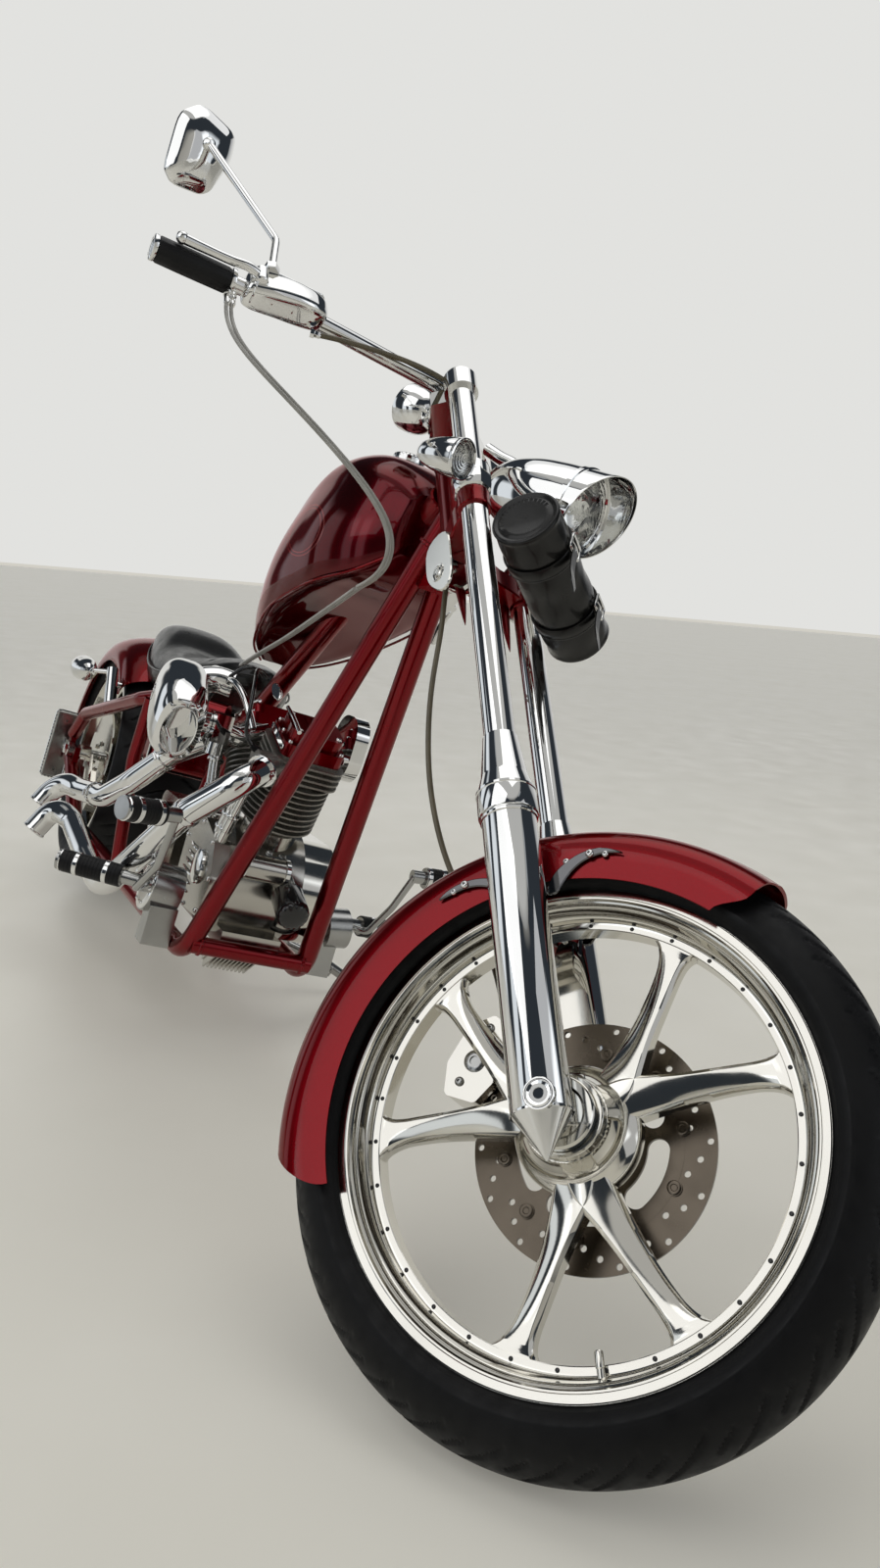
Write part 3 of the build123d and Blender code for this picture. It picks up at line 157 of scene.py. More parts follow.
def grid_faces(rows, cols, close_rows=False, close_cols=False):
    """Quads of a lattice of points, wrapped where a direction closes."""
    i = np.arange(rows if close_rows else rows - 1)[:, None]
    j = np.arange(cols if close_cols else cols - 1)[None, :]
    here, there = i * cols, (i + 1) % rows * cols
    along = (j + 1) % cols
    quads = np.stack([here + j, there + j, there + along, here + along], axis=-1)
    return quads.reshape(-1, 4).tolist()


def skin(rows, closed=False):
    """Surface through rings of equally many points.  Like all surfaces here it is (points, faces)."""
    rows = np.asarray(rows, float)
    return rows.reshape(-1, 3), grid_faces(len(rows), rows.shape[1], closed, True)


def lathe(outline, at=(0, 0, 0), axis=(0, 1, 0), turns=48, closed=False, depth=None):
    """Turned surface: outline rows are (along the axis, radius); depth(angle, row) lowers the radius."""
    rows = np.asarray(outline, float)
    angle = np.arange(turns) * 2 * math.pi / turns
    e1, e2 = basis(axis)
    radius = np.repeat(rows[:, 1][:, None], turns, axis=1)
    if depth is not None:
        radius = radius - depth(angle[None, :], np.arange(len(rows))[:, None])
    ring = np.cos(angle)[:, None] * e1 + np.sin(angle)[:, None] * e2
    pts = np.asarray(at, float) + rows[:, 0][:, None, None] * unit(axis) + radius[:, :, None] * ring[None]
    return skin(pts, closed)


def band(outline, at, axis, turns=64, depth=None):
    """Turned ring whose outline closes on itself."""
    return lathe(outline, at, axis, turns, True, depth)


def grooves(deep, waves, rows, level=0.0):
    """Depth for lathe(): grooves cut where the sine of waves * angle is over level, on these rows only."""
    return lambda angle, row: deep * (np.sin(waves * angle) > level) * np.isin(row, rows)


def tangents(line):
    """Unit direction of a sampled line at each of its points."""
    along = np.gradient(line, axis=0)
    return along / np.linalg.norm(along, axis=1)[:, None]


def swept(path, tangent, radius, sides):
    """Round rings along a path, drawn in to a point at both ends.

    A ring's two directions are carried from point to point by removing the part along the new tangent,
    so the skin never twists.
    """
    side = basis(tangent[0])[0]
    angle = np.arange(sides) * 2 * math.pi / sides
    rings = [np.repeat(path[:1], sides, axis=0)]
    for p, t, r in zip(path, tangent, radius):
        side = unit(side - (side @ t) * t)
        rings.append(p + r * (np.cos(angle)[:, None] * side + np.sin(angle)[:, None] * np.cross(t, side)))
    rings.append(np.repeat(path[-1:], sides, axis=0))
    return skin(rings)


def tube(line, radius, sides=20):
    """Round rod along sampled points, its radius one number or one for each point."""
    line = np.asarray(line, float)
    return swept(line, tangents(line), np.broadcast_to(np.asarray(radius, float), (len(line),)), sides)


def pipe(line, radius, wall, sides, deep):
    """Open pipe: the outside, the far end's rim and the bore, deep samples long, up to a blind wall."""
    back = slice(-1, -deep, -1)
    tangent = tangents(line)
    radii = np.r_[np.full(len(line), radius), np.full(len(line[back]), radius - wall)]
    return swept(np.vstack([line, line[back]]), np.vstack([tangent, tangent[back]]), radii, sides)


def plate(outline, thick, at, x_dir, normal, edge=0.8):
    """Flat plate with a rounded rim: four copies of the outline, pulled in at both faces, and two caps."""
    flat = np.asarray(outline, float)
    area = np.sum(flat[:, 0] * np.roll(flat[:, 1], -1) - np.roll(flat[:, 0], -1) * flat[:, 1])
    flat = flat if area > 0 else flat[::-1]
    ahead = np.roll(flat, -1, axis=0) - flat
    ahead /= np.linalg.norm(ahead, axis=1)[:, None]
    inward = np.stack([-ahead[:, 1], ahead[:, 0]], axis=1)
    inward = inward + np.roll(inward, 1, axis=0)
    inward /= np.maximum(np.linalg.norm(inward, axis=1), 0.5)[:, None]
    n, x = unit(normal), unit(x_dir)
    x = unit(x - (x @ n) * n)
    y = np.cross(n, x)
    rows = []
    for z, pull in ((-thick / 2, edge), (-thick / 2 + edge, 0), (thick / 2 - edge, 0), (thick / 2, edge)):
        q = flat + inward * pull
        rows.append(np.asarray(at, float) + q[:, :1] * x + q[:, 1:] * y + z * n)
    m = len(flat)
    faces = grid_faces(4, m, False, True)
    faces += [list(range(m)), [3 * m + k for k in range(m)][::-1]]
    return np.array(rows).reshape(-1, 3), faces


def rounded(wide, tall, radius, steps=6):
    """Outline of a rectangle with round corners."""
    out = []
    for cx, cy, a0 in ((1, 1, 0), (-1, 1, 90), (-1, -1, 180), (1, -1, 270)):
        for a in np.radians(np.linspace(a0, a0 + 90, steps)):
            out.append((cx * (wide / 2 - radius) + radius * math.cos(a),
                        cy * (tall / 2 - radius) + radius * math.sin(a)))
    return out


def hex_bolt(at, axis, r=5.0, tall=4.5):
    """Hexagon head on a washer: two turned stacks, six and twenty-four sided."""
    rows = [(0.8, 0), (0.8, r * 0.96), (1.2, r), (tall - 0.8, r), (tall, r * 0.86), (tall, 0)]
    head = lathe(rows, at, axis, 6)
    ring = lathe([(-0.5, 0), (-0.5, r * 1.3), (0.7, r * 1.35), (1, r * 1.2), (1, 0)], at, axis, 24)
    return [head, ring]


def dome_bolt(at, axis, r=4.0, tall=3.0):
    """Round-head socket screw: a dome with a hexagon-like recess."""
    rows = [(-0.5, 0), (-0.5, r), (0.3 * tall, r), (0.75 * tall, 0.84 * r), (tall, 0.55 * r),
            (tall, 0.42 * r), (0.3 * tall, 0.4 * r), (0.3 * tall, 0)]
    return [lathe(rows, at, axis, 20)]


def ring_of(maker, centre, axis, radius, count, **size):
    """The same fastener repeated round a circle, size holding the fastener's own numbers."""
    e1, e2 = basis(axis)
    out = []
    for k in range(count):
        a = math.radians(360 * k / count)
        out += maker(np.asarray(centre, float) + radius * (math.cos(a) * e1 + math.sin(a) * e2), axis, **size)
    return out


def shell(sections):
    """Closed skin over a row of rings, each the same number of points, ends drawn in to their centres."""
    rings = np.asarray(sections, float)
    ends = [np.repeat(rings[k].mean(axis=0)[None], rings.shape[1], axis=0)[None] for k in (0, -1)]
    return skin(np.concatenate([ends[0], rings, ends[1]]))


def oval(centre, a, b, power=1.0, count=64):
    """Ring centre + a*c^p + b*s^p, with c and s the cosine and sine and p below 1 squaring it off."""
    t = np.arange(count) * 2 * math.pi / count
    c, s = np.cos(t), np.sin(t)
    c, s = np.sign(c) * np.abs(c) ** power, np.sign(s) * np.abs(s) ** power
    return np.asarray(centre, float) + c[:, None] * np.asarray(a, float) + s[:, None] * np.asarray(b, float)


def softened(points, passes=3, ratio=0.25):
    """Polygon with its corners cut repeatedly, each time a quarter in from both ends of a side."""
    pts = np.asarray(points, float)
    for _ in range(passes):
        after = np.roll(pts, -1, axis=0)
        pts = np.stack([pts + (after - pts) * ratio, after + (pts - after) * ratio], axis=1).reshape(-1, 2)
    return pts


def welded_mesh(name, points, faces):
    """Mesh whose points are merged where they meet, such as at a pole, and whose normals agree."""
    mesh = bpy.data.meshes.new(name)
    mesh.from_pydata(points.tolist(), [], faces)
    work = bmesh.new()
    work.from_mesh(mesh)
    bmesh.ops.remove_doubles(work, verts=work.verts, dist=MERGE_DISTANCE)
    bmesh.ops.recalc_face_normals(work, faces=work.faces)
    work.to_mesh(mesh)
    work.free()
    return mesh


def in_scene(name, data):
    """New object in the scene's collection for a mesh, curve, lamp or camera."""
    obj = bpy.data.objects.new(name, data)
    bpy.context.scene.collection.objects.link(obj)
    return obj


def enter(name, data, body, mat, stands_for):
    """Piece of the model: its material, the body it rides on and the nodes it stands for."""
    data.materials.append(mat)
    obj = in_scene(name, data)
    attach(obj, body)
    if stands_for:
        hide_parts(*stands_for)
    return obj


def build(name, parts, body, mat, stands_for=(), angle=35.0):
    """One piece from several surfaces, shaded smooth where its faces meet at less than an angle."""
    verts, faces, start = [], [], 0
    for pts, quads in parts:
        verts.append(np.asarray(pts, float).reshape(-1, 3))
        faces += [[v + start for v in f] for f in quads]
        start += len(verts[-1])
    mesh = welded_mesh(name, PLACES[body](np.vstack(verts)), faces)
    mesh.polygons.foreach_set("use_smooth", [True] * len(mesh.polygons))
    mesh.set_sharp_from_angle(angle=math.radians(angle))
    return enter(name, mesh, body, mat, stands_for)


def flexible(name, runs, radius, body, mat, stands_for=()):
    """Held hoses and cables: one curve object, each run a NURBS spline on its route's own points."""
    curve = bpy.data.curves.new(name, "CURVE")
    curve.dimensions = "3D"
    curve.bevel_depth = radius / 1000
    curve.bevel_resolution = 4
    curve.use_fill_caps = True
    for points in runs:
        spline = curve.splines.new("NURBS")
        spline.points.add(len(points) - 1)
        for point, xyz in zip(spline.points, PLACES[body](points)):
            point.co = (*xyz, 1.0)
        spline.order_u = 4
        spline.resolution_u = 14
        spline.use_endpoint_u = True
    return enter(name, curve, body, mat, stands_for)


def feed(tree, value, socket):
    """Give a socket its value: another node's output, a colour or a number."""
    if isinstance(value, bpy.types.NodeSocket):
        tree.links.new(value, socket)
    else:
        socket.default_value = (*value, 1) if isinstance(value, tuple) else value


def calc(tree, kind, *values):
    """Output of a node that does arithmetic on numbers and other nodes' outputs."""
    node = tree.nodes.new("ShaderNodeMath")
    node.operation = kind
    for value, socket in zip(values, node.inputs):
        feed(tree, value, socket)
    return node.outputs[0]


def blend(tree, share, first, second):
    """Output of a node that blends two colours by a share from 0 to 1."""
    node = tree.nodes.new("ShaderNodeMix")
    node.data_type = "RGBA"
    for value, socket in ((share, node.inputs["Factor"]), (first, node.inputs[6]), (second, node.inputs[7])):
        feed(tree, value, socket)
    return node.outputs[2]


class Shader:
    """A procedural material under construction: nodes on Object coordinates, joined by name."""

    def __init__(self, name):
        self.material = bpy.data.materials.new(name)
        self.material.use_nodes = True
        self.tree = self.material.node_tree
        self.tree.nodes.clear()
        self.out = self.tree.nodes.new("ShaderNodeOutputMaterial")
        self.bsdf = self.tree.nodes.new("ShaderNodeBsdfPrincipled")
        self.tree.links.new(self.bsdf.outputs[0], self.out.inputs[0])
        self.where = self.tree.nodes.new("ShaderNodeTexCoord").outputs["Object"]

    def set(self, **values):
        """Constants on the main shader's own sockets."""
        for key, value in values.items():
            self.bsdf.inputs[key.replace("_", " ")].default_value = value
        return self

    def link(self, source, socket):
        """Join a node's output to a socket of the main shader."""
        self.tree.links.new(source, self.bsdf.inputs[socket])

    def stretched(self, scale):
        """Object coordinates multiplied by a scale on each axis."""
        node = self.tree.nodes.new("ShaderNodeMapping")
        node.inputs["Scale"].default_value = scale
        self.tree.links.new(self.where, node.inputs["Vector"])
        return node.outputs["Vector"]

    def noise(self, scale, detail=3.0, where=None):
        """Fractal noise between 0 and 1."""
        node = self.tree.nodes.new("ShaderNodeTexNoise")
        node.inputs["Scale"].default_value = scale
        node.inputs["Detail"].default_value = detail
        self.tree.links.new(where or self.where, node.inputs["Vector"])
        return node.outputs["Fac"]

    def cells(self, scale, feature="F1"):
        """Distance to cell centres or edges of a Voronoi pattern."""
        node = self.tree.nodes.new("ShaderNodeTexVoronoi")
        node.feature = feature
        node.inputs["Scale"].default_value = scale
        self.tree.links.new(self.where, node.inputs["Vector"])
        return node.outputs["Distance"]

    def span(self, value, low, high, to_low, to_high):
        """Map a value from one range to another, clipped."""
        node = self.tree.nodes.new("ShaderNodeMapRange")
        for key, number in zip(("From Min", "From Max", "To Min", "To Max"), (low, high, to_low, to_high)):
            node.inputs[key].default_value = number
        self.tree.links.new(value, node.inputs["Value"])
        return node.outputs["Result"]

    def mix(self, share, first, second):
        """Blend of two colours by a share from 0 to 1."""
        return blend(self.tree, share, first, second)

    def bump(self, height, strength, distance, under=None):
        """Normal from a height, over an earlier bump if one is given."""
        node = self.tree.nodes.new("ShaderNodeBump")
        node.inputs["Strength"].default_value = strength
        node.inputs["Distance"].default_value = distance
        self.tree.links.new(height, node.inputs["Height"])
        if under is not None:
            self.tree.links.new(under, node.inputs["Normal"])
        return node.outputs["Normal"]

    def facing(self, blend=0.4):
        """How far the surface turns away from the viewer."""
        node = self.tree.nodes.new("ShaderNodeLayerWeight")
        node.inputs["Blend"].default_value = blend
        return node.outputs["Facing"]


def metal(name, colour, low, high, scale=60.0, grain=(1, 1, 1), bump=0.03, dirt=0.85):
    """Bare or plated metal: smudges vary the roughness, grain makes fine brushed relief."""
    s = Shader(name).set(Metallic=1.0)
    smudge = s.noise(scale * 0.2, 5.0)
    shade = tuple(c * dirt for c in colour)
    s.link(s.mix(s.span(smudge, 0.35, 0.7, 0, 1), colour, shade), "Base Color")
    fine = s.noise(scale * 6, 2.0, s.stretched(grain))
    s.link(s.span(s.noise(scale * 0.35, 6.0), 0.3, 0.75, low, high), "Roughness")
    s.link(s.bump(fine, bump, 0.0004), "Normal")
    return s.material


def candy_paint(name, depth=1.0, rough=0.27):
    """Deep red lacquer over fine metal flake: flake brightens the base, the edge of view darkens it."""
    s = Shader(name).set(Metallic=0.9, Coat_Weight=0.8, Coat_Roughness=0.02, Coat_IOR=1.36,
                         Specular_Tint=(0.75, 0.06, 0.09, 1), Specular_IOR_Level=0.2)
    flakes_per_metre = 1600
    flake = s.span(s.cells(flakes_per_metre), 0.0, 0.6, 0.0, 1.0)
    # depth scales the whole base colour; below 1, as in the tank's copy, the darkening is painted shade
    red = s.mix(flake, (0.30 * depth, 0.002, 0.007), (0.21 * depth, 0.001, 0.005))
    s.link(s.mix(s.facing(0.3), red, (0.075 * depth, 0.0008, 0.003)), "Base Color")
    s.link(s.span(s.noise(30, 4.0), 0.3, 0.7, rough, rough + 0.04), "Roughness")
    s.link(s.bump(s.noise(14, 2.0), 0.02, 0.001), "Coat Normal")
    s.link(s.bump(s.cells(flakes_per_metre), 0.05, 0.0002), "Normal")
    return s.material


def tank_paint(name):
    """The same lacquer with two fine pale oval rings on each flank, one inside the other.

    A ring is where sqrt((stretch * dx)^2 + dz^2), with dx and dz measured from its centre along the
    model's X and Z, is within half a line's width of its radius.  Under the rings the lacquer's base is
    taken at half depth, a darkening that is painted shade.
    """
    stretch, half_line = 0.62, 0.0009
    # half depth: the tank's base darkened as painted shade, the lacquer otherwise the fenders' own
    mat = candy_paint(name, 0.5, 0.2)
    tree = mat.node_tree
    bsdf = next(n for n in tree.nodes if n.type == "BSDF_PRINCIPLED")
    split = tree.nodes.new("ShaderNodeSeparateXYZ")
    tree.links.new(tree.nodes.new("ShaderNodeTexCoord").outputs["Object"], split.inputs[0])
    centre = machine([(1196.0, -130.0, 968.0)])[0]
    dx = calc(tree, "MULTIPLY", calc(tree, "SUBTRACT", split.outputs[0], float(centre[0])), stretch)
    dz = calc(tree, "SUBTRACT", split.outputs[2], float(centre[2]))
    squares = [calc(tree, "MULTIPLY", d, d) for d in (dx, dz)]
    far = calc(tree, "SQRT", calc(tree, "ADD", *squares))
    lines = []
    for radius in (0.040, 0.046):
        off = calc(tree, "ABSOLUTE", calc(tree, "SUBTRACT", far, radius))
        lines.append(calc(tree, "LESS_THAN", off, half_line))
    base = bsdf.inputs["Base Color"].links[0].from_socket
    lined = blend(tree, calc(tree, "MAXIMUM", *lines), base, (0.30, 0.10, 0.09))
    tree.links.new(lined, bsdf.inputs["Base Color"])
    return mat


def leather(name):
    """Black hide: cell grain in relief, creases from slow noise, slightly worn where it is high."""
    s = Shader(name).set(Specular_IOR_Level=0.22, Coat_Weight=0.35, Coat_Roughness=0.09)
    fresh, worn = (0.0035, 0.0034, 0.0033), (0.008, 0.0075, 0.007)
    s.link(s.mix(s.span(s.noise(9, 5.0), 0.4, 0.7, 0, 1), fresh, worn), "Base Color")
    s.link(s.span(s.noise(45, 5.0), 0.3, 0.7, 0.27, 0.42), "Roughness")
    creases = s.bump(s.noise(28, 6.0), 0.25, 0.002)
    s.link(s.bump(s.cells(620, "DISTANCE_TO_EDGE"), 0.35, 0.0005, creases), "Normal")
    return s.material


def rubber(name, colour, low, high, scale=700):
    """Moulded rubber: dusty patches and a fine skin."""
    s = Shader(name).set(Specular_IOR_Level=0.2)
    dusty = tuple(c * 1.5 for c in colour)
    s.link(s.mix(s.span(s.noise(16, 6.0), 0.42, 0.72, 0, 1), colour, dusty), "Base Color")
    s.link(s.span(s.noise(60, 4.0), 0.3, 0.7, low, high), "Roughness")
    s.link(s.bump(s.noise(scale, 3.0), 0.12, 0.0004), "Normal")
    return s.material


def glass(name, colour, rough=0.02, weight=1.0):
    """Clear or tinted moulded lens with slight waves."""
    s = Shader(name).set(Base_Color=(*colour, 1), IOR=1.47, Transmission_Weight=weight)
    s.link(s.span(s.noise(90, 2.0), 0.3, 0.7, rough, rough + 0.03), "Roughness")
    s.link(s.bump(s.noise(220, 2.0), 0.05, 0.0004), "Normal")
    return s.material


def enamel(name, colour, low=0.25, high=0.4):
    """Painted or anodised part: thin orange peel and slight colour drift."""
    s = Shader(name).set(Coat_Weight=0.3, Coat_Roughness=0.1)
    lighter = tuple(min(1.0, c * 1.35 + 0.003) for c in colour)
    s.link(s.mix(s.span(s.noise(22, 4.0), 0.35, 0.7, 0, 1), colour, lighter), "Base Color")
    s.link(s.span(s.noise(80, 4.0), 0.3, 0.7, low, high), "Roughness")
    s.link(s.bump(s.noise(420, 2.0), 0.06, 0.0004), "Normal")
    return s.material


def cast(name, colour):
    """Sand-cast alloy left grey: grainy, darker in its pits."""
    s = Shader(name).set(Metallic=0.85)
    grain = s.noise(330, 5.0)
    s.link(s.mix(s.span(grain, 0.35, 0.65, 0, 1), tuple(c * 0.6 for c in colour), colour), "Base Color")
    s.link(s.span(s.noise(50, 4.0), 0.3, 0.7, 0.34, 0.55), "Roughness")
    s.link(s.bump(grain, 0.25, 0.0006), "Normal")
    return s.material


CHROME = metal("chrome", (0.82, 0.82, 0.81), 0.02, 0.06, 60, bump=0.003, dirt=0.96)
SMOKED = metal("smoked_chrome", (0.16, 0.16, 0.165), 0.06, 0.14, 60, bump=0.01, dirt=0.9)
POLISHED = metal("polished_alloy", (0.74, 0.72, 0.665), 0.06, 0.13, 50, (1, 1, 6), 0.01, 0.95)
ROTOR = metal("brake_steel", (0.13, 0.108, 0.084), 0.20, 0.32, 90, (6, 1, 6), 0.03, 0.82)
STEEL = metal("satin_steel", (0.42, 0.42, 0.41), 0.16, 0.30, 70, (1, 5, 1), 0.02, 0.93)
PIPE_INSIDE = cast("pipe_inside", (0.07, 0.06, 0.05))
PAINT = candy_paint("candy_paint")
# the tank's copy of the lacquer, its base darkened to half as painted shade
TANK_PAINT = tank_paint("candy_paint_shaded_lined")
LEATHER = leather("black_leather")
TYRE = rubber("tyre_rubber", (0.005, 0.005, 0.0055), 0.38, 0.6)
RUBBER = rubber("grip_rubber", (0.010, 0.010, 0.0105), 0.32, 0.5, 1100)
CLEAR = glass("clear_lens", (0.96, 0.97, 0.97))
RED_LENS = glass("red_lens", (0.55, 0.012, 0.014), 0.05, 0.55)
HOSE = enamel("braided_hose", (0.115, 0.095, 0.055), 0.35, 0.5)
CABLE = enamel("cable_sheath", (0.34, 0.33, 0.30), 0.3, 0.45)
CAST = cast("cast_alloy", (0.38, 0.365, 0.335))
ENGINE = metal("engine_alloy", (0.56, 0.54, 0.50), 0.14, 0.24, 60, (1, 1, 3), 0.02, 0.92)
BLACK = enamel("gloss_black", (0.006, 0.006, 0.0065), 0.1, 0.2)
DIAL = enamel("dial_white", (0.72, 0.71, 0.67), 0.3, 0.4)
PLATE_GREY = enamel("plate_grey", (0.42, 0.42, 0.40), 0.35, 0.5)

FINISH = {"tyre": TYRE, "polished": POLISHED, "rotor": ROTOR, "steel": STEEL, "chrome": CHROME,
          "paint": PAINT, "clear_lens": CLEAR, "red_lens": RED_LENS, "rubber": RUBBER,
          "leather": LEATHER, "hose": HOSE, "cable": CABLE, "engine_grey": CAST, "black": BLACK}
for part in frame["record"]["subparts"]:
    node = NODES[part["node"]]
    node.data.materials.clear()
    node.data.materials.append(FINISH[part["material_slot"]])
for node, finish in (("crankcase", ENGINE), ("foot_controls", STEEL)):
    NODES[node].data.materials[0] = finish


def tyre_rows(outer, width, crown, rim_r, half_rim, rows=44):
    """Closed outline of a tyre, as (y, r): crown arc, bulged wall with two rings, bead and inside.

    At share k down the wall the belly is 2 sin(1.1 pi k), and each ring is a narrow Gaussian of k.
    """
    edge = width / 2
    y = np.linspace(-edge, edge, rows)
    crown_r = outer - crown + np.sqrt(np.maximum(crown ** 2 - y ** 2, 0))
    top = list(zip(y, crown_r))
    low = float(crown_r[0])
    wall = []
    for k in np.linspace(0.06, 1, 14):
        belly = 2.0 * math.sin(math.pi * min(1, k * 1.1))
        raised = 1.1 * math.exp(-((k - 0.82) / 0.05) ** 2) + 0.8 * math.exp(-((k - 0.3) / 0.04) ** 2)
        wall.append((edge + (half_rim - edge) * k ** 2.2 + (belly + raised), low + (rim_r - low) * k))
    inside = [(half_rim - 5, rim_r - 13), (0, rim_r - 13), (5 - half_rim, rim_r - 13)]
    left = [(-a, r) for a, r in reversed(wall)]
    return np.array(left + top + wall + inside), len(left), len(top)


def tread(outer, edge, first, last, pitches, depth, sweep, swing):
    """Depth of the tread at (angle, y).

    Each side has swept grooves at a steady pitch: a groove's centre line is pitch*k + sweep*q^1.4, where
    q is the share of the way from the centre to the edge, and it fades at both ends.  A short sipe lies
    midway between two grooves.  The right side is set half a pitch round from the left.
    """
    def at(angle, y):
        q = np.abs(y) / edge
        pitch = 2 * math.pi / pitches
        turn = angle * swing - sweep * q ** 1.4 + np.where(y > 0, 0.5, 0.0) * pitch
        off = (turn + pitch / 2) % pitch - pitch / 2
        wide = GROOVE_HALF_WIDE / outer
        groove = 1 - step(np.abs(off), wide * 0.5, wide)
        live = step(q, first, first + 0.08) * (1 - step(q, last - 0.08, last))
        small = (turn + pitch) % pitch - pitch / 2
        sipe = 1 - step(np.abs(small), wide * 0.4, wide * 0.9)
        short = sipe * step(q, 0.45, 0.5) * (1 - step(q, 0.7, 0.75))
        return depth * np.maximum(groove * live, short)
    return at


def tyre_surface(rows, first_row, count, centre, cut, around=960):
    """Tyre turned about Y, its crown lowered by the tread's depth."""
    angle = np.arange(around) * 2 * math.pi / around
    y, r = rows[:, 0][:, None], rows[:, 1][:, None]
    depth = np.zeros((len(rows), around))
    span = slice(first_row, first_row + count)
    depth[span] = cut(angle[None, :], y[span])
    radius = r - depth
    pts = np.stack([radius * np.cos(angle), np.repeat(y, around, 1), radius * np.sin(angle)], axis=-1)
    return skin(pts + np.asarray(centre, float), True)


def wheel_arm(angle, side):
    """One blade of a spoke pair: a bevelled bar that widens into the hub and the rim and twists a little.

    Its stations are distance from the axle, lean from the pair's middle in degrees, half width, half
    thickness and twist in degrees.
    """
    reach = np.array([48, 62, 78, 96, 116, 140, 166, 192, 214, 228, 236, 241, 244.5])
    lean = np.array([5.5, 7.5, 10.5, 14.0, 16.6, 18.6, 20.0, 21.2, 22.2, 22.9, 23.3, 23.6, 23.8])
    half = np.array([25, 25, 24, 21, 18, 15.8, 14.6, 14.4, 15.4, 18.5, 23, 29, 37])
    deep = np.array([22, 20, 18, 16.5, 15.2, 14.4, 13.8, 13.4, 13.0, 13.0, 13.0, 13.0, 13.0])
    turn = np.array([0, 4, 9, 15, 20, 22, 20, 15, 8, 3, 0, 0, 0])
    table = smooth(np.stack([reach, lean, half, deep, turn], axis=1), 44)
    rings = []
    for r, a, w, d, twist in table:
        t = math.radians(angle + side * a)
        out = np.array([math.cos(t), 0, math.sin(t)])
        across = np.array([-math.sin(t), 0, math.cos(t)]) * side
        back = np.array([0, 1.0, 0])
        slope = math.tan(math.radians(twist))
        flat = w - min(4.5, 0.35 * w)
        quarter = [(w, d - 6), (flat, d - 0.6), (flat - 1.2, d)]
        upper = quarter + [(-u, v) for u, v in quarter[::-1]]
        outline = [(u, -v) for u, v in upper[::-1]] + upper
        ring = []
        for u, v in outline:
            v += slope * u * (1 if v < 0 else 0.4)
            ring.append(out * r + across * u + back * v)
        rings.append(ring)
    return shell(rings)


def front_wheel_metal():
    """Front rim turned from one outline, its hub, and three pairs of blades."""
    half = 49.5
    near = [(-half, 266.5), (-half - 0.3, 272), (-half, 279.0), (-half + 1, 280), (-half + 3, 280),
            (-half + 4, 267.4), (-34, 266.7), (-27, 261), (0, 259)]
    inner = [(0, 241.0), (-13, 241.0), (-13.8, 242), (-13.8, 249.5), (-14.4, 250.5), (-22, 252.0),
             (-23, 253.2), (-29, 256.5), (-36, 258.5), (-37, 260), (-41, 262.5), (-45, 262.7), (-46, 264.6)]
    outline = near + [(-y, r) for y, r in reversed(near[:-1])]
    outline += [(-y, r) for y, r in reversed(inner[1:])] + inner
    parts = [band(outline, (0, 0, 0), (0, 1, 0), 200)]
    hub = [(-84, 12.6), (-84, 27), (-76, 27), (-76, 31), (-84, 31), (-84.6, 38), (-83, 40), (-71, 40),
           (-70, 41), (-70, 45), (-69, 46), (-62, 46.4), (-52, 47.5), (-40, 50), (-30, 54.5), (-22, 60.5),
           (-16, 67), (-12, 72), (-9, 74), (9, 74), (20, 66), (38, 54), (42, 52), (57.4, 52), (57.4, 12.6)]
    parts.append(band(hub, (0, 0, 0), (0, 1, 0), 120))
    parts += [wheel_arm(angle, side) for angle in BLADE_PAIRS for side in (-1, 1)]
    build("front_wheel_metal", parts, "front_wheel", POLISHED, ("front_rim",), 32)


def tyres():
    """Both tyres with their treads."""
    rows, low, count = tyre_rows(FRONT_TYRE_R, FRONT_TYRE_WIDE, 60.0, 281.0, 48.0)
    cut = tread(FRONT_TYRE_R, FRONT_TYRE_WIDE / 2, 0.10, 0.86, 30, 4.2, 0.26, 1)
    build("front_tyre_tread", [tyre_surface(rows, low, count, (0, 0, 0), cut)], "front_wheel", TYRE,
          ("front_tyre",), 50)
    rows, low, count = tyre_rows(REAR_TYRE_R, REAR_TYRE_WIDE, 250.0, 243.0, 131.0, 52)
    cut = tread(REAR_TYRE_R, REAR_TYRE_WIDE / 2, 0.06, 0.9, 26, 5.0, 0.30, -1)
    build("rear_tyre_tread", [tyre_surface(rows, low, count, (0, 0, REAR_AXLE_Z), cut, 840)], "rear_wheel",
          TYRE, ("rear_tyre",), 50)


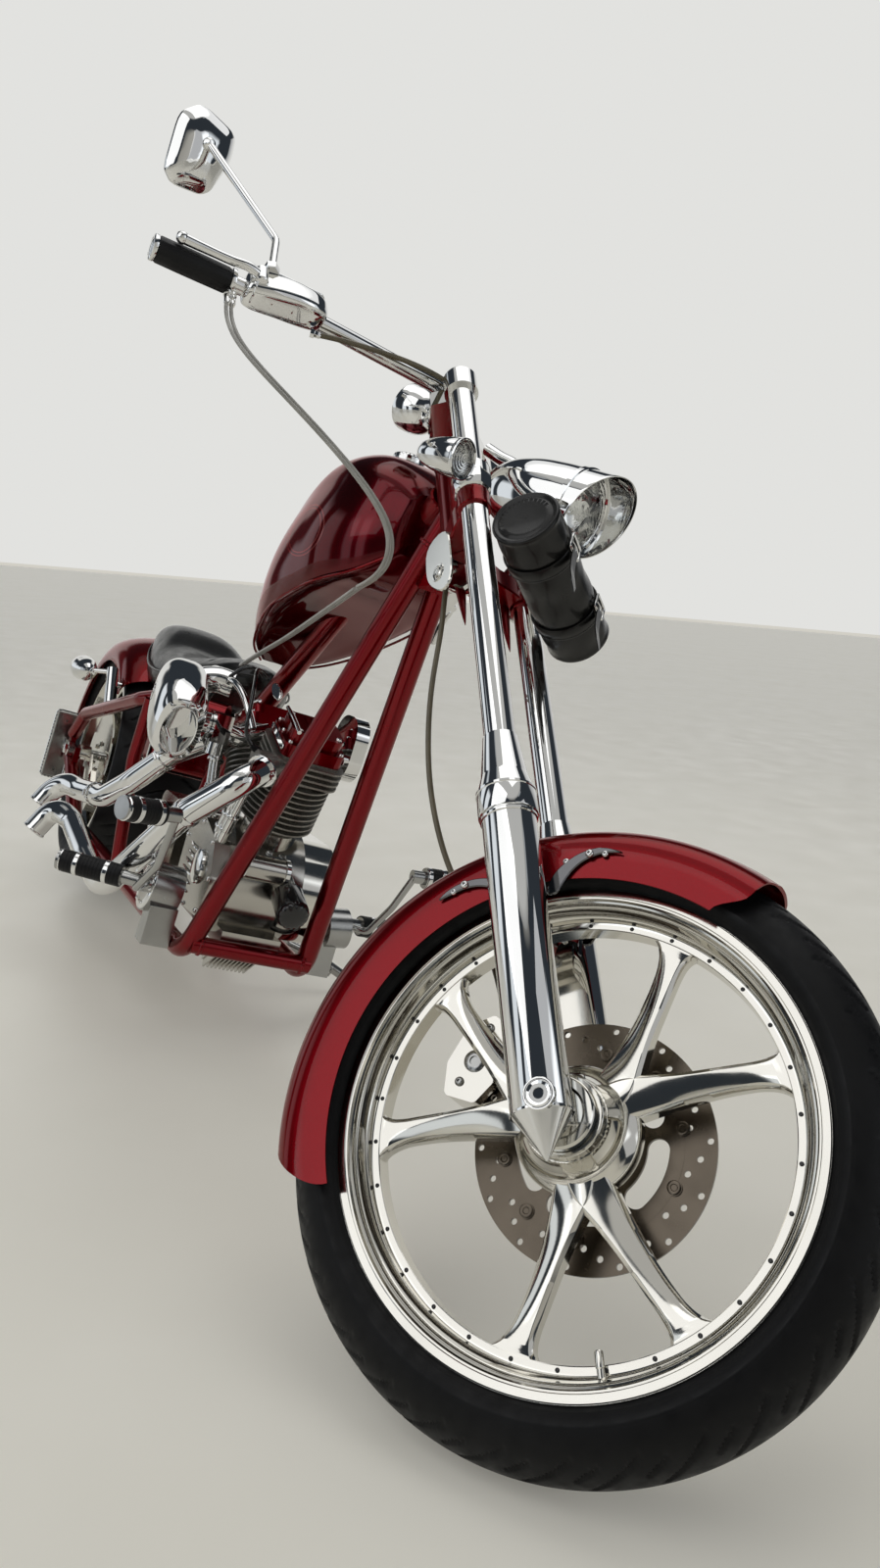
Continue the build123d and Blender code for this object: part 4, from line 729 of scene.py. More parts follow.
def wheel_trim():
    """Rim screws and edges, valve, hub rings, the front disc's buttons, rear hub screws and pulley teeth."""
    small = []
    screw_r, screws = 246, 30
    for side in (-1, 1):
        for k in range(screws):
            a = 2 * math.pi * (k + 0.5) / screws
            small += dome_bolt((screw_r * math.cos(a), side * 13.6, screw_r * math.sin(a)), (0, side, 0),
                               r=2.6, tall=1.6)
    small += ring_of(dome_bolt, (0, -70.2, 0), (0, -1, 0), 35, 10, r=3.0, tall=2.2)
    small += ring_of(dome_bolt, (0, 63.4, 0), (0, 1, 0), 41, 5, r=5.0, tall=4.0)
    build("front_wheel_screws", small, "front_wheel", BLACK)
    trim = [band([(-84.6, 27.5), (-84.6, 39), (-86.4, 37.5), (-86.6, 30)], (0, 0, 0), (0, 1, 0)),
            band([(-70.1, 40.2), (-70.1, 45.4), (-72.2, 44.6), (-72.2, 41)], (0, 0, 0), (0, 1, 0))]
    knurl = [(-57.2, 46.05), (-57.2, 48.0), (-49.0, 48.0), (-49.0, 46.05)]
    trim.append(band(knurl, (0, 0, 0), (0, 1, 0), 180, grooves(0.7, 90, (1, 2))))
    for side in (-1, 1):
        lip = [(side * y, r) for y, r in ((49.6, 268.5), (50.6, 269.5), (50.6, 277.5), (49.6, 278.8))]
        trim.append(band(lip, (0, 0, 0), (0, 1, 0), 160))
    a = math.radians(BLADE_PAIRS[2])
    out = np.array([math.cos(a), 0, math.sin(a)])
    at = out * 259 + np.array([0, -20.0, 0])
    trim.append(lathe([(-2, 0), (-2, 7), (3, 7), (5, 4.4), (14, 4.2), (15, 5), (30, 5), (31.5, 4), (31.5, 0)],
                      at, -out, 24))
    build("front_wheel_trim", trim, "front_wheel", POLISHED)
    buttons = []
    button = [(-0.3, 0), (-0.3, 8.2), (1.0, 8.2), (1.6, 7), (1.2, 4.2), (0.4, 3.4), (0.4, 0)]
    button_r, count = 108, 10
    for k in range(count):
        t = 2 * math.pi * k / count
        for y, way in ((65.5, 1), (55.5, -1)):
            at = (button_r * math.cos(t), y, button_r * math.sin(t))
            buttons.append(lathe(button, at, (0, way, 0), 24))
    build("disc_buttons", buttons, "front_wheel", ROTOR)
    rear = ring_of(hex_bolt, (0, -131.0, REAR_AXLE_Z), (0, -1, 0), 38, 5, r=6.0, tall=6.0)
    rear += ring_of(dome_bolt, (0, 166.0, REAR_AXLE_Z), (0, 1, 0), 36, 5, r=5.0, tall=1.2)
    teeth = [(121.0, 105.1), (121.0, 108.6), (163.0, 108.6), (163.0, 105.1)]
    rear.append(band(teeth, (0, 0, REAR_AXLE_Z), (0, 1, 0), 280, grooves(2.4, 70, (1, 2))))
    for side in (-1, 1):
        lip = [(side * y, r) for y, r in ((138.1, 228), (139.6, 229.5), (139.6, 239), (138.1, 240.6))]
        rear.append(band(lip, (0, 0, REAR_AXLE_Z), (0, 1, 0), 128))
    build("rear_wheel_trim", rear, "rear_wheel", POLISHED)


def arched_shell(half, thick, centre, start, stop, ridge, around=150, across=41):
    """Fender as one closed skin: an outside swept round the axle, a bead at the edge and the inside.

    half is (y, r) from one lower edge to the crown.  start and stop give the end angle for a share q of
    the section, 0 at the crown and 1 at the lower edge.  ridge(y) raises the outside.
    """
    bead_out, bead_down = 1.6, 1.2
    half = np.asarray(half, float)
    full = np.vstack([half, (half[:-1] * [-1, 1])[::-1]])
    line = smooth(full, across)
    normal = np.stack([-np.gradient(line[:, 1]), np.gradient(line[:, 0])], axis=1)
    normal /= np.linalg.norm(normal, axis=1)[:, None]
    if normal[across // 2, 1] < 0:
        normal = -normal
    q = np.abs(np.linspace(-1, 1, across))
    outer = line + normal * ridge(line[:, 0])[:, None]
    inner = line[::-1] - normal[::-1] * thick
    left, right = [line[k] + normal[k] * bead_out + unit(line[k] - line[beside]) * bead_down
                   for k, beside in ((-1, -2), (0, 1))]
    loop = np.vstack([outer, [left], inner, [right]])
    share = np.r_[q, 1, q[::-1], 1]
    s = np.linspace(0, 1, around)[:, None]
    angle = np.radians(start(share)[None, :] * (1 - s) + stop(share)[None, :] * s)
    y, r = loop[:, 0][None, :], loop[:, 1][None, :]
    pts = np.stack([r * np.cos(angle), np.repeat(y, around, 0), r * np.sin(angle)], axis=-1)
    m = len(loop)
    faces = grid_faces(around, m, False, True)
    for row in (0, around - 1):
        for k in range(across - 1):
            a, b = row * m + k, row * m + k + 1
            c, d = row * m + 2 * across - k - 1, row * m + 2 * across - k
            faces.append([a, b, c, d])
        faces.append([row * m + across - 1, row * m + across, row * m + across + 1])
        faces.append([row * m, row * m + 2 * across, row * m + 2 * across + 1])
    return (pts + np.asarray(centre, float)).reshape(-1, 3), faces


def fenders():
    """Front and rear fenders with a raised centre band, and the screws that hold them."""
    half = [(75.5, 282), (76.5, 300), (76.2, 318), (73, 335), (63, 349), (44, 358.6), (22, 363.4), (0, 365)]
    front = arched_shell(
        half, 2.4, (0, 0, 0),
        lambda q: 39.2 + 0.6 * q + 5.0 * step(q, 0.72, 1.0),
        lambda q: 171.8 + 14.5 * step(q, 0.05, 1.0),
        lambda y: 2.0 * step(np.abs(y), 34, 31))
    build("front_fender_skin", [front], "fork", PAINT, ("front_fender",), 28)
    half = [(163.5, 262), (164.2, 276), (162, 292), (153, 310), (136, 325), (110, 338.4), (70, 350.4),
            (35, 356.2), (0, 358)]
    rear = arched_shell(
        half, 2.8, (0, 0, REAR_AXLE_Z),
        lambda q: np.full(len(q), 46.0),
        lambda q: 178.0 - 6.0 * step(q, 0.6, 1.0),
        lambda y: 1.6 * step(np.abs(y), 52, 48), 150, 61)
    build("rear_fender_skin", [rear], "frame", PAINT, ("rear_fender",), 28)
    screws = []
    for side in (-1, 1):
        for x, z in ((-100, 294), (94, 297), (-46, 296), (46, 299)):
            screws += dome_bolt((x, side * 80.2, z), (0, side, 0), r=4.2, tall=3.2)
    build("fender_screws", screws, "fork", CHROME)


# Stations of the tank: x, lowest and highest z, half width at the middle and near the top.
TANK = [(1388, 956, 1068, 50, 48), (1350, 916, 1104, 96, 88), (1270, 884, 1136, 134, 121),
        (1180, 856, 1134, 144, 131), (1080, 822, 1084, 142, 129), (970, 776, 982, 116, 104),
        (880, 740, 862, 76, 64), (836, 722, 790, 40, 36)]


def tank():
    """Stretched tank with its filler cap and the seams along its lower edges.

    Each station's outline is a smooth closed curve through nine points from the keel over the crown and
    back; the stations are joined by cubic curves along X, and both ends are drawn in to a rounded nose.
    """
    around, along = 96, 90
    stations = []
    for x, low, high, wide, top in TANK:
        h = high - low
        half = [(0, low + 1), (wide * 0.5, low + 0.5), (wide * 0.84, low + 2), (wide * 0.97, low + 0.18 * h),
                (wide, low + 0.42 * h), (top * 0.98, low + 0.68 * h), (top * 0.84, low + 0.86 * h),
                (top * 0.52, low + 0.965 * h), (0, high)]
        ring = half + [(-y, z) for y, z in reversed(half[1:-1])]
        ring = np.array(ring + ring[:1])
        ring = np.vstack([ring[-3:-1], ring, ring[1:3]])
        length = np.r_[0, np.cumsum(np.linalg.norm(np.diff(ring, axis=0), axis=1))]
        curve = smooth(ring, 181)
        s = np.linspace(0, length[-1], len(curve))
        keep = np.linspace(length[2], length[-3], around + 1)[:-1]
        y, z = np.interp(keep, s, curve[:, 0]), np.interp(keep, s, curve[:, 1])
        stations.append(np.stack([np.full(around, float(x)), y, z], axis=1))
    rows = smooth(np.array(stations).reshape(len(TANK), -1), along).reshape(along, around, 3)
    ends = []
    for row, sign in ((rows[0], 1), (rows[-1], -1)):
        middle = row.mean(axis=0)
        cap = []
        for k in (0.35, 0.7, 0.95):
            shrink = math.sqrt(1 - k * k)
            q = middle + (row - middle) * shrink
            q[:, 0] = row[:, 0] + sign * 6 * k
            cap.append(q)
        tip = np.repeat(middle[None], around, axis=0)
        tip[:, 0] += sign * 6.3
        cap.append(tip)
        ends.append(cap)
    body = skin(ends[0][::-1] + list(rows) + ends[1])
    build("tank_shell", [body], "frame", TANK_PAINT, ("fuel_tank",), 40)
    cap = lathe([(0, 0), (0, 37), (3, 37.5), (5, 34), (7, 31), (18, 31), (21, 29.5), (24, 24), (25.6, 12),
                 (26, 0)], (1226, 0, 1129), (-0.05, 0, 1), 72, False, grooves(0.9, 24, (4, 5), 0.1))
    lip = []
    for side in (-1, 1):
        line = smooth([(x, side * (wide * 0.9), low - 1.0) for x, low, high, wide, top in TANK], 80)
        lip.append(tube(line, 2.6, 10))
    build("tank_cap", [cap], "frame", CHROME)
    build("tank_seam", lip, "frame", PAINT)


# Stations of the seat: x, lowest and highest z, half width.  Its seam runs at SEAT_SEAM of the height.
SEAT = [(772, 664, 708, 34), (748, 652, 712, 58), (720, 640, 712, 80), (670, 622, 702, 108),
        (620, 606, 694, 124), (545, 594, 684, 134), (470, 586, 680, 138), (400, 578, 686, 139),
        (330, 570, 702, 138), (275, 572, 722, 133), (220, 578, 740, 124), (170, 606, 750, 112),
        (130, 640, 750, 98), (98, 668, 736, 72)]
SEAT_SEAM = 0.42


def seat():
    """Solo saddle: crowned sections joined along X, inflated by a cloth run, and its piping.

    With c and s the cosine and sine round a section, its half width goes as |c|^0.62, its height over the
    seam as |s|^0.8 and under it as |s|^0.55.  A Gaussian across the width dishes the sitting place.
    """
    across = along = 60
    rows = []
    for x, low, high, half in SEAT:
        ring = []
        mid = low + SEAT_SEAM * (high - low)
        for a in np.linspace(0, 2 * math.pi, across + 1)[:-1]:
            c, s = math.cos(a), math.sin(a)
            y = half * np.sign(c) * abs(c) ** 0.62
            z = mid + ((high - mid) * abs(s) ** 0.8 if s > 0 else -(mid - low) * abs(s) ** 0.55)
            dish = 9.0 * math.exp(-(y / (0.55 * half)) ** 2) if s > 0.2 and 300 < x < 640 else 0.0
            ring.append((x, y, z - dish))
        rows.append(ring)
    rows = smooth(np.array(rows).reshape(len(SEAT), -1), along).reshape(along, across, 3)
    middle = rows.mean(axis=1, keepdims=True)
    nose = middle[:1] + (rows[:1] - middle[:1]) * 0.5 + [[[7.0, 0, 0]]]
    tip = np.repeat(middle[:1] + [[[10.0, 0, 0]]], across, axis=1)
    back = middle[-1:] + (rows[-1:] - middle[-1:]) * 0.55 - [[[9.0, 0, 0]]]
    end = np.repeat(middle[-1:] - [[[12.0, 0, 0]]], across, axis=1)
    pad = build("seat_cushion", [skin(np.concatenate([tip, nose, rows, back, end]))], "frame",
                LEATHER, ("seat",), 60)
    swell(pad)
    for side in (-1, 1):
        seam = [(x, side * (half + 1.5), low + SEAT_SEAM * (high - low)) for x, low, high, half in SEAT]
        seam = [(783, side * 12, 684)] + seam + [(88, side * 30, 700)]
        flexible("seat_piping" + ("_left" if side > 0 else "_right"), [seam], 2.6, "frame",
                 LEATHER)


def swell(pad):
    """Cloth run with inside pressure: remesh, simulate, keep each point's move under a cap, subdivide."""
    cell, frames, longest_move = 0.0065, 18, 0.007
    bpy.context.view_layer.objects.active = pad
    for other in bpy.context.selected_objects:
        other.select_set(False)
    pad.select_set(True)
    remesh = pad.modifiers.new("even", "REMESH")
    remesh.mode = "VOXEL"
    remesh.voxel_size = cell
    bpy.ops.object.modifier_apply(modifier=remesh.name)
    count = len(pad.data.vertices)
    before = np.empty(count * 3)
    pad.data.vertices.foreach_get("co", before)
    cloth = pad.modifiers.new("air", "CLOTH")
    cloth.settings.use_pressure = True
    cloth.settings.uniform_pressure_force = 4.0
    cloth.settings.effector_weights.gravity = 0.0
    cloth.settings.tension_stiffness = 20
    cloth.settings.compression_stiffness = 20
    cloth.point_cache.frame_start = 1
    cloth.point_cache.frame_end = 20
    for number in range(1, frames + 1):
        bpy.context.scene.frame_set(number)
    shaped = pad.evaluated_get(bpy.context.evaluated_depsgraph_get())
    after = np.empty(count * 3)
    shaped.data.vertices.foreach_get("co", after)
    pad.modifiers.remove(cloth)
    move = (after - before).reshape(-1, 3)
    far = np.linalg.norm(move, axis=1)[:, None]
    move = move * np.minimum(1, longest_move / np.maximum(far, 1e-9))
    pad.data.vertices.foreach_set("co", (before.reshape(-1, 3) + move).ravel())
    pad.data.update()
    soft = pad.modifiers.new("round", "SUBSURF")
    soft.levels = 1
    soft.render_levels = 1
    bpy.ops.object.modifier_apply(modifier=soft.name)
    pad.data.polygons.foreach_set("use_smooth", [True] * len(pad.data.polygons))
    bpy.context.scene.frame_set(1)


LAMP_AXIS = np.array([0.7505, 0.0, -0.6609])
LAMP_UP = np.array([0.6609, 0.0, 0.7505])
LAMP_AT = np.array([131.0, 0.0, 926.0])
LAMP_R = 68.0


def lamp_point(s, r, angle):
    """Points of the headlamp from distance along its axis, radius and angle round it from its right."""
    side = np.array([0.0, 1.0, 0.0])
    s, r, angle = np.broadcast_arrays(s, r, angle)
    ring = np.cos(angle)[..., None] * side + np.sin(angle)[..., None] * LAMP_UP
    return LAMP_AT + s[..., None] * LAMP_AXIS + r[..., None] * ring


def headlamp():
    """Teardrop shell whose mouth is cut on a slant, its ribbed reflector, fluted lens, bezel and bulb.

    The mouth lies at mouth = -4 + (R sin(angle) + 80) * slant along the axis, the lens's flutes at
    0.7 cos(1.6 r cos(angle)).
    """
    turns, slant, ribs = 96, 0.368, 24
    angle = np.arange(turns) * 2 * math.pi / turns
    back = smooth([(-196, 0.0), (-193, 12), (-180, 30), (-150, 50), (-104, 63), (-50, 67.6), (-10, LAMP_R)],
                  44)
    mouth = -4 + (LAMP_R * np.sin(angle) + 80) * slant
    rows = [lamp_point(s, r, angle) for s, r in back]
    for k in np.linspace(0.12, 1, 12):
        rows.append(lamp_point(-10 + (mouth + 10) * k, LAMP_R, angle))
    for s, r in ((1.6, 67.6), (1.6, 66.2), (0, 65.6)):
        rows.append(lamp_point(mouth + s, r, angle))
    for k in np.linspace(0.9, 0.0, 8):
        rows.append(lamp_point(-12 + (mouth + 12) * k, 65.4, angle))
    for s, r in smooth([(-14, 64.5), (-32, 56), (-48, 42), (-59, 22), (-63, 8), (-63.5, 0)], 26):
        rib = 0.9 * np.abs(np.sin(angle * ribs)) * min(1.0, r / 30)
        rows.append(lamp_point(s, r - rib, angle))
    build("headlamp_shell", [skin(rows)], "fork", CHROME, ("headlight",), 40)
    stem = tube(smooth([(44, 0, 1052), (34, 0, 1078), (14, 0, 1104), (-6, 0, 1134)], 24), 11, 24)
    hoop = band([(-13, LAMP_R + 0.1), (-12, 70.2), (-4, 70.2), (-3, LAMP_R + 0.1)], LAMP_AT, LAMP_AXIS, 96)
    parts = [stem, hoop]
    for side in (-1, 1):
        parts += hex_bolt((40, side * 13, 1062), (0, side, 0), r=6, tall=5)
    build("headlamp_mount", parts, "fork", CHROME)
    pane = []
    for s, r in smooth([(-9, 64.6), (-3, 60), (3, 42), (7, 20), (8, 0)], 22):
        wave = 0.7 * np.cos(np.cos(angle) * r * 1.6)
        pane.append(lamp_point(s + wave * (r > 4) * (r < 61), r, angle))
    for s, r in smooth([(3.5, 0), (2.4, 20), (-2, 42), (-8, 58), (-13, 64.4)], 18):
        pane.append(lamp_point(s, r, angle))
    build("headlamp_glass", [skin(pane, True)], "fork", CLEAR, ("front_lenses",), 50)
    rim = band([(-14, 65.3), (-14, 58.5), (-6, 57.0), (0, 61.5), (-2, 65.3)], LAMP_AT, LAMP_AXIS, 96)
    bulb = [(-60, 0), (-60, 8), (-50, 8), (-46, 6), (-32, 6.5), (-26, 4), (-24, 0)]
    build("headlamp_rim", [rim, lathe(bulb, LAMP_AT, LAMP_AXIS, 24)], "fork", CHROME)


def bullet(at, axis):
    """Smooth bullet shell with a rolled rim and a shallow cup for its lens."""
    rows = smooth([(-52, 0), (-50.5, 6), (-43, 14), (-26, 21.8), (-6, 26.6), (14, 29), (28, 29.6)], 40)
    rim = np.array([(30, 30.6), (32, 30.2), (32.6, 28.8), (31.4, 27.0), (26, 26.6), (15, 26.2), (12, 18),
                    (9, 8), (8.5, 0)])
    return lathe(np.vstack([rows, rim]), at, axis, 64)


def lens(at, axis, scale=1.0):
    """Domed lens with raised rings: a quarter cosine for the dome and a fine cosine of the radius."""
    lens_r = 26.3
    rows = [(20, 0), (20, lens_r)]
    for r in np.linspace(lens_r, 0, 40):
        dome = 26.5 + 7.5 * math.cos(r / lens_r * math.pi / 2)
        rows.append((dome + 0.5 * math.cos(6 * math.pi * r / 13), r))
    return lathe(np.array(rows) * scale, at, axis, 56)


def lamps():
    """Bullet signal lamps in front with their stalks, the red lenses behind and the tail lamp."""
    axis = (0.80, 0.0, -0.60)
    shells, panes = [], []
    for side in (-1, 1):
        at = (-24.0, side * 185.0, 937.0)
        shells.append(bullet(at, axis))
        panes.append(lens(at, axis))
        line = smooth([(-12, side * 150, 942), (-16, side * 160, 942), (-20, side * 170, 941)], 12)
        shells.append(tube(line, 8, 24))
        shells.append(lathe([(-4, 0), (-4, 9.6), (-2, 11), (2, 11), (4, 9.6), (4, 0)], line[4],
                            line[8] - line[4], 32))
    build("front_signal_shells", shells, "fork", CHROME, ("front_signals",), 40)
    build("front_signal_glass", panes, "fork", CLEAR, (), 50)
    reds = []
    for side in (-1, 1):
        reds.append(lens((120.0, side * 246.0, 566.0), (-1, 0, 0), 1.1))
    turn, lamp_r = math.radians(34), 369.4
    spot = np.array([-lamp_r * math.sin(turn), 0, REAR_AXLE_Z + lamp_r * math.cos(turn)])
    normal, back = unit((-math.sin(turn), 0, math.cos(turn))), unit((-math.cos(turn), 0, -math.sin(turn)))
    reds.append(plate(rounded(50, 82, 16, 8), 20, spot, back, normal, 6))
    build("rear_lamp_glass", reds, "frame", RED_LENS, ("rear_lenses",), 50)
    rim = plate(rounded(54, 86, 18, 8), 5, spot - normal * 8.2, back, normal, 1.5)
    build("tail_lamp_rim", [rim], "frame", CHROME)


# The bar's centre line between its bends, from its right end to its left.
BAR_POINTS = [(-332, -497, 1190), (-178, -296, 1195), (-46, -104, 1192), (-46, 104, 1192), (-178, 296, 1195),
              (-332, 497, 1190)]


def bar_end(side):
    """Outer end of the bar on one side and the direction inward."""
    a = np.array(BAR_POINTS[0], float) * [1, -side, 1]
    b = np.array(BAR_POINTS[1], float) * [1, -side, 1]
    return a, unit(b - a)


def control_housing(a, d, front, up):
    """Hand control on the bar's end at a: housing, lid, ribs, pivot and lever, and its screws and switches.

    The housing's stations are distance along the bar, offsets ahead and up, half width and half height.
    """
    table = [(134, 4, 0, 12, 14), (138, 4, -1, 20, 22), (150, 5, -2, 23, 24), (168, 8, -2, 25, 25),
             (190, 11, -1, 26, 26), (220, 12, 0, 26, 25), (244, 11, 1, 24, 22), (258, 9, 2, 20, 18),
             (264, 8, 2, 14, 12)]
    bodies, dark = [], []
    bodies.append(shell([oval(a + d * t + front * f + up * z, front * w, up * h, 0.55)
                         for t, f, z, w, h in smooth(np.array(table, float), 30)]))
    spot = a + d * 212 + front * 11 + up * 25.6
    bodies.append(plate(softened(rounded(96, 40, 14, 5), 1), 3.0, spot, d, up, 1.0))
    for u in (-38, 38):
        dark += dome_bolt(spot + d * u + up * 1.4, up, r=3.2, tall=2.2)
    for t in (146, 176, 208):
        rib = [(t - 1.6, 25.0), (t - 1, 26.6), (t + 1, 26.6), (t + 1.6, 25.0)]
        bodies.append(band(rib, a + front * 8 - up, d, 48))
    pivot = a + d * 152 + front * 30
    bodies.append(lathe([(-15, 0), (-15, 8), (-13, 10), (13, 10), (15, 8), (15, 0)], pivot, up, 32))
    dark += dome_bolt(pivot + up * 14.6, up, r=4.5, tall=3.0)
    lever = smooth([pivot - d * 4, a + d * 132 + front * 34 + up * 2, a + d * 104 + front * 31 + up * 4,
                    a + d * 60 + front * 28.5 + up * 7, a + d * 30 + front * 28 + up * 8], 40)
    thick = np.interp(np.arange(40), [0, 6, 22, 39], [8, 7.5, 7, 8])
    bodies.append(tube(lever, thick, 20))
    ball = [(-9, 0), (-8, 5), (-4, 8.4), (0, 9.4), (4, 8.4), (8, 5), (9, 0)]
    bodies.append(lathe(ball, lever[-1], d, 28))
    button = [(-1, 0), (-1, 4.0), (2.5, 4.0), (3.4, 3.2), (3.6, 0)]
    for k in range(3):
        at = a + d * (140 + 9 * k) - front * 17 + up * (12 + 2 * k)
        dark.append(lathe(button, at, up - front * 0.8, 20))
    return bodies, dark


def handlebar_parts():
    """Fluted grips between bright rings, end caps, both hand controls, and the bar clamps' bolts."""
    rubber_parts, bright, dark, bodies = [], [], [], []
    for side in (-1, 1):
        a, d = bar_end(side)
        rows = [(3, 13.2), (3, 17.8), (5, 18.4), (36, 18.7), (70, 18.7), (108, 18.4), (112, 17.6),
                (112, 13.2)]
        rubber_parts.append(band(rows, a, d, 60, grooves(-0.9, 6, (2, 3, 4, 5), 0.75)))
        for s, r in ((-1.5, 19.2), (116, 20.6)):
            half = [(4.2, 13.1), (4, r - 2.4), (3, r - 0.4), (1, r)]
            ring = [(s - u, v) for u, v in half] + [(s + u, v) for u, v in half[::-1]]
            bright.append(band(ring, a, d, 48))
        bright.append(lathe([(-7, 0), (-6.6, 8), (-5, 13), (-3, 15.5), (2, 15.5), (2, 0)], a, d, 40))
        up = np.array([0, 0, 1.0])
        front = unit(np.cross(d, up))
        front = front if front[0] > 0 else -front
        housing, screws = control_housing(a, d, front, up)
        bodies += housing
        dark += screws
    for y in (-62, 62):
        for x in (-60, -32):
            bright += hex_bolt((x, y, 1209.2), (0, 0, 1), r=6, tall=5.5)
        dark.append(plate(rounded(42.6, 34.6, 3), 1.2, (-46, y, 1192), (1, 0, 0), (0, 0, 1), 0.4))
    build("grip_rubber", rubber_parts, "fork", RUBBER, ("grips",), 40)
    build("bar_fittings", bright, "fork", CHROME)
    build("bar_screws", dark, "fork", STEEL)
    build("control_housings", bodies, "fork", CHROME, ("hand_controls",), 40)


def mirrors():
    """Mirror heads with a softened rim and a domed back, their stems, balls and nuts, and the glass.

    The back's rings are shares of the rim's outline, each lifted along the head's normal.
    """
    heads, panes = [], []
    edge = softened([(-43, 48), (25, 64), (46, 26), (54, -46), (2, -81), (-22, -74), (-59, 7)], 3, 0.16)
    middle = edge.mean(axis=0)
    domed = ((0.90, -7), (0.985, -7.4), (1.0, -6), (1.0, -1), (0.985, 0.6), (0.93, 5), (0.84, 10.5),
             (0.70, 16), (0.52, 20), (0.32, 22.5), (0.12, 23.4))
    for side in (-1, 1):
        centre = np.array([-300.0, side * 448.0, 1510.0])
        x = unit((0.194, -side * 0.966, -0.171))
        n = unit((0.725, side * 0.259, -0.638))
        y = np.cross(n, x) * -side
        rings = []
        for share, lift in domed:
            flat = middle + (edge - middle) * share
            rings.append(centre + flat[:, :1] * x + flat[:, 1:] * y + n * lift)
        heads.append(shell(rings))
        low = np.array([-206.0, side * 384.0, 1212.0])
        stem = bent([low, (-198, side * 386, 1284), (-282, side * 456, 1494)], [24], 6)
        heads.append(tube(stem, 6.2, 20))
        end = stem[-1]
        heads.append(lathe([(-10, 0), (-9, 5), (-5, 8.6), (0, 10), (5, 8.6), (9, 5), (10, 0)], end, n, 32))
        heads.append(lathe([(-2, 0), (-2, 11), (2, 12), (12, 12), (14, 10), (14, 0)], low, (0, 0, 1), 6))
        flat = (middle + (edge - middle) * 0.92) * [1, -side]
        panes.append(plate(flat[::-side], 1.4, centre - n * 7.6, x, n, 0.4))
    build("mirror_heads", heads, "fork", CHROME, ("mirrors",), 28)
    build("mirror_glass", panes, "fork", CHROME)


def gauge():
    """Instrument: cup with its bezel, white dial, ticks and needle."""
    at, axis = np.array([-112.0, -20.0, 1258.0]), unit((-0.62, 0.0, 0.78))
    cup = smooth([(-36, 0), (-35, 10), (-30, 22), (-16, 34), (0, 39.5), (16, 41)], 30)
    rim = [(24, 41.5), (27, 41.2), (28.4, 39.5), (27.6, 37), (25, 36)]
    build("gauge_cup", [lathe(np.vstack([cup, rim, [(24.3, 35.8), (24.3, 0)]]), at, axis, 72)], "fork",
          CHROME, (), 40)
    build("gauge_dial", [lathe([(24.4, 0), (24.4, 35), (24.9, 35), (24.9, 0)], at, axis, 64)], "fork",
          DIAL)
    marks = []
    e1, e2 = basis(axis)
    for k in range(31):
        a = math.radians(-60 + 10 * k)
        way = math.cos(a) * e1 + math.sin(a) * e2
        half = 3.0 if k % 5 == 0 else 1.6
        marks.append(plate([(-half, -0.5), (half, -0.5), (half, 0.5), (-half, 0.5)], 0.4,
                           at + axis * 25.2 + way * (32 - half), way, axis, 0.1))
    way = math.cos(math.radians(200)) * e1 + math.sin(math.radians(200)) * e2
    marks.append(plate([(-6, -1.6), (26, -0.4), (26, 0.4), (-6, 1.6)], 0.7, at + axis * 26, way, axis, 0.2))
    marks.append(lathe([(25.0, 0), (25.0, 4), (27, 4), (27.4, 0)], at, axis, 24))
    build("gauge_marks", marks, "fork", BLACK)


def stitches(centre, e1, e2, radius, count, shares, lift, thick):
    """Ring of short raised stitches, each over these shares of its pitch."""
    out = []
    for k in range(count):
        turns = [2 * math.pi * (k + share) / count for share in shares]
        ends = [centre + radius * (math.cos(a) * e1 + math.sin(a) * e2) for a in turns]
        middle = (ends[0] + ends[1]) / 2
        out.append(tube([ends[0], middle + lift * unit(middle - centre), ends[1]], thick, 6))
    return out


def strap_tail(at, along, out, down):
    """Loose end of a strap: a tapering strip that follows the roll's side and then hangs away from it."""
    tail = smooth([(0, 0, 0), (0, 18, 2.0), (2, 36, 7.0), (5, 56, 19), (8, 74, 32)], 30)
    strip = []
    for k, (sway, drop, lift) in enumerate(tail):
        half = 9 * (1 if k < 24 else max(0.05, (29 - k) / 6))
        centre = at + out * (1.4 + lift - 0.004 * drop ** 2) + down * (4 + drop) + along * sway
        strip.append([centre + along * u * half + out * v
                      for u, v in ((1, 0.9), (-1, 0.9), (-1, -0.9), (1, -0.9))])
    return shell(strip)


def buckle(at, along, out, down):
    """Wire frame of a buckle with round corners, its bowed cross bar and its prong."""
    corners = ((-17, -11), (17, -11), (17, 11), (-17, 11), (-17, -11))
    return [tube(bent([at + along * u + down * v for u, v in corners], [4, 4, 4]), 2.5, 10),
            tube([at + along * -14, at + out * 1.5, at + along * 14], 1.5, 10),
            tube([at, at + out * 2.0 + down * 5, at + down * 11], 1.2, 8)]


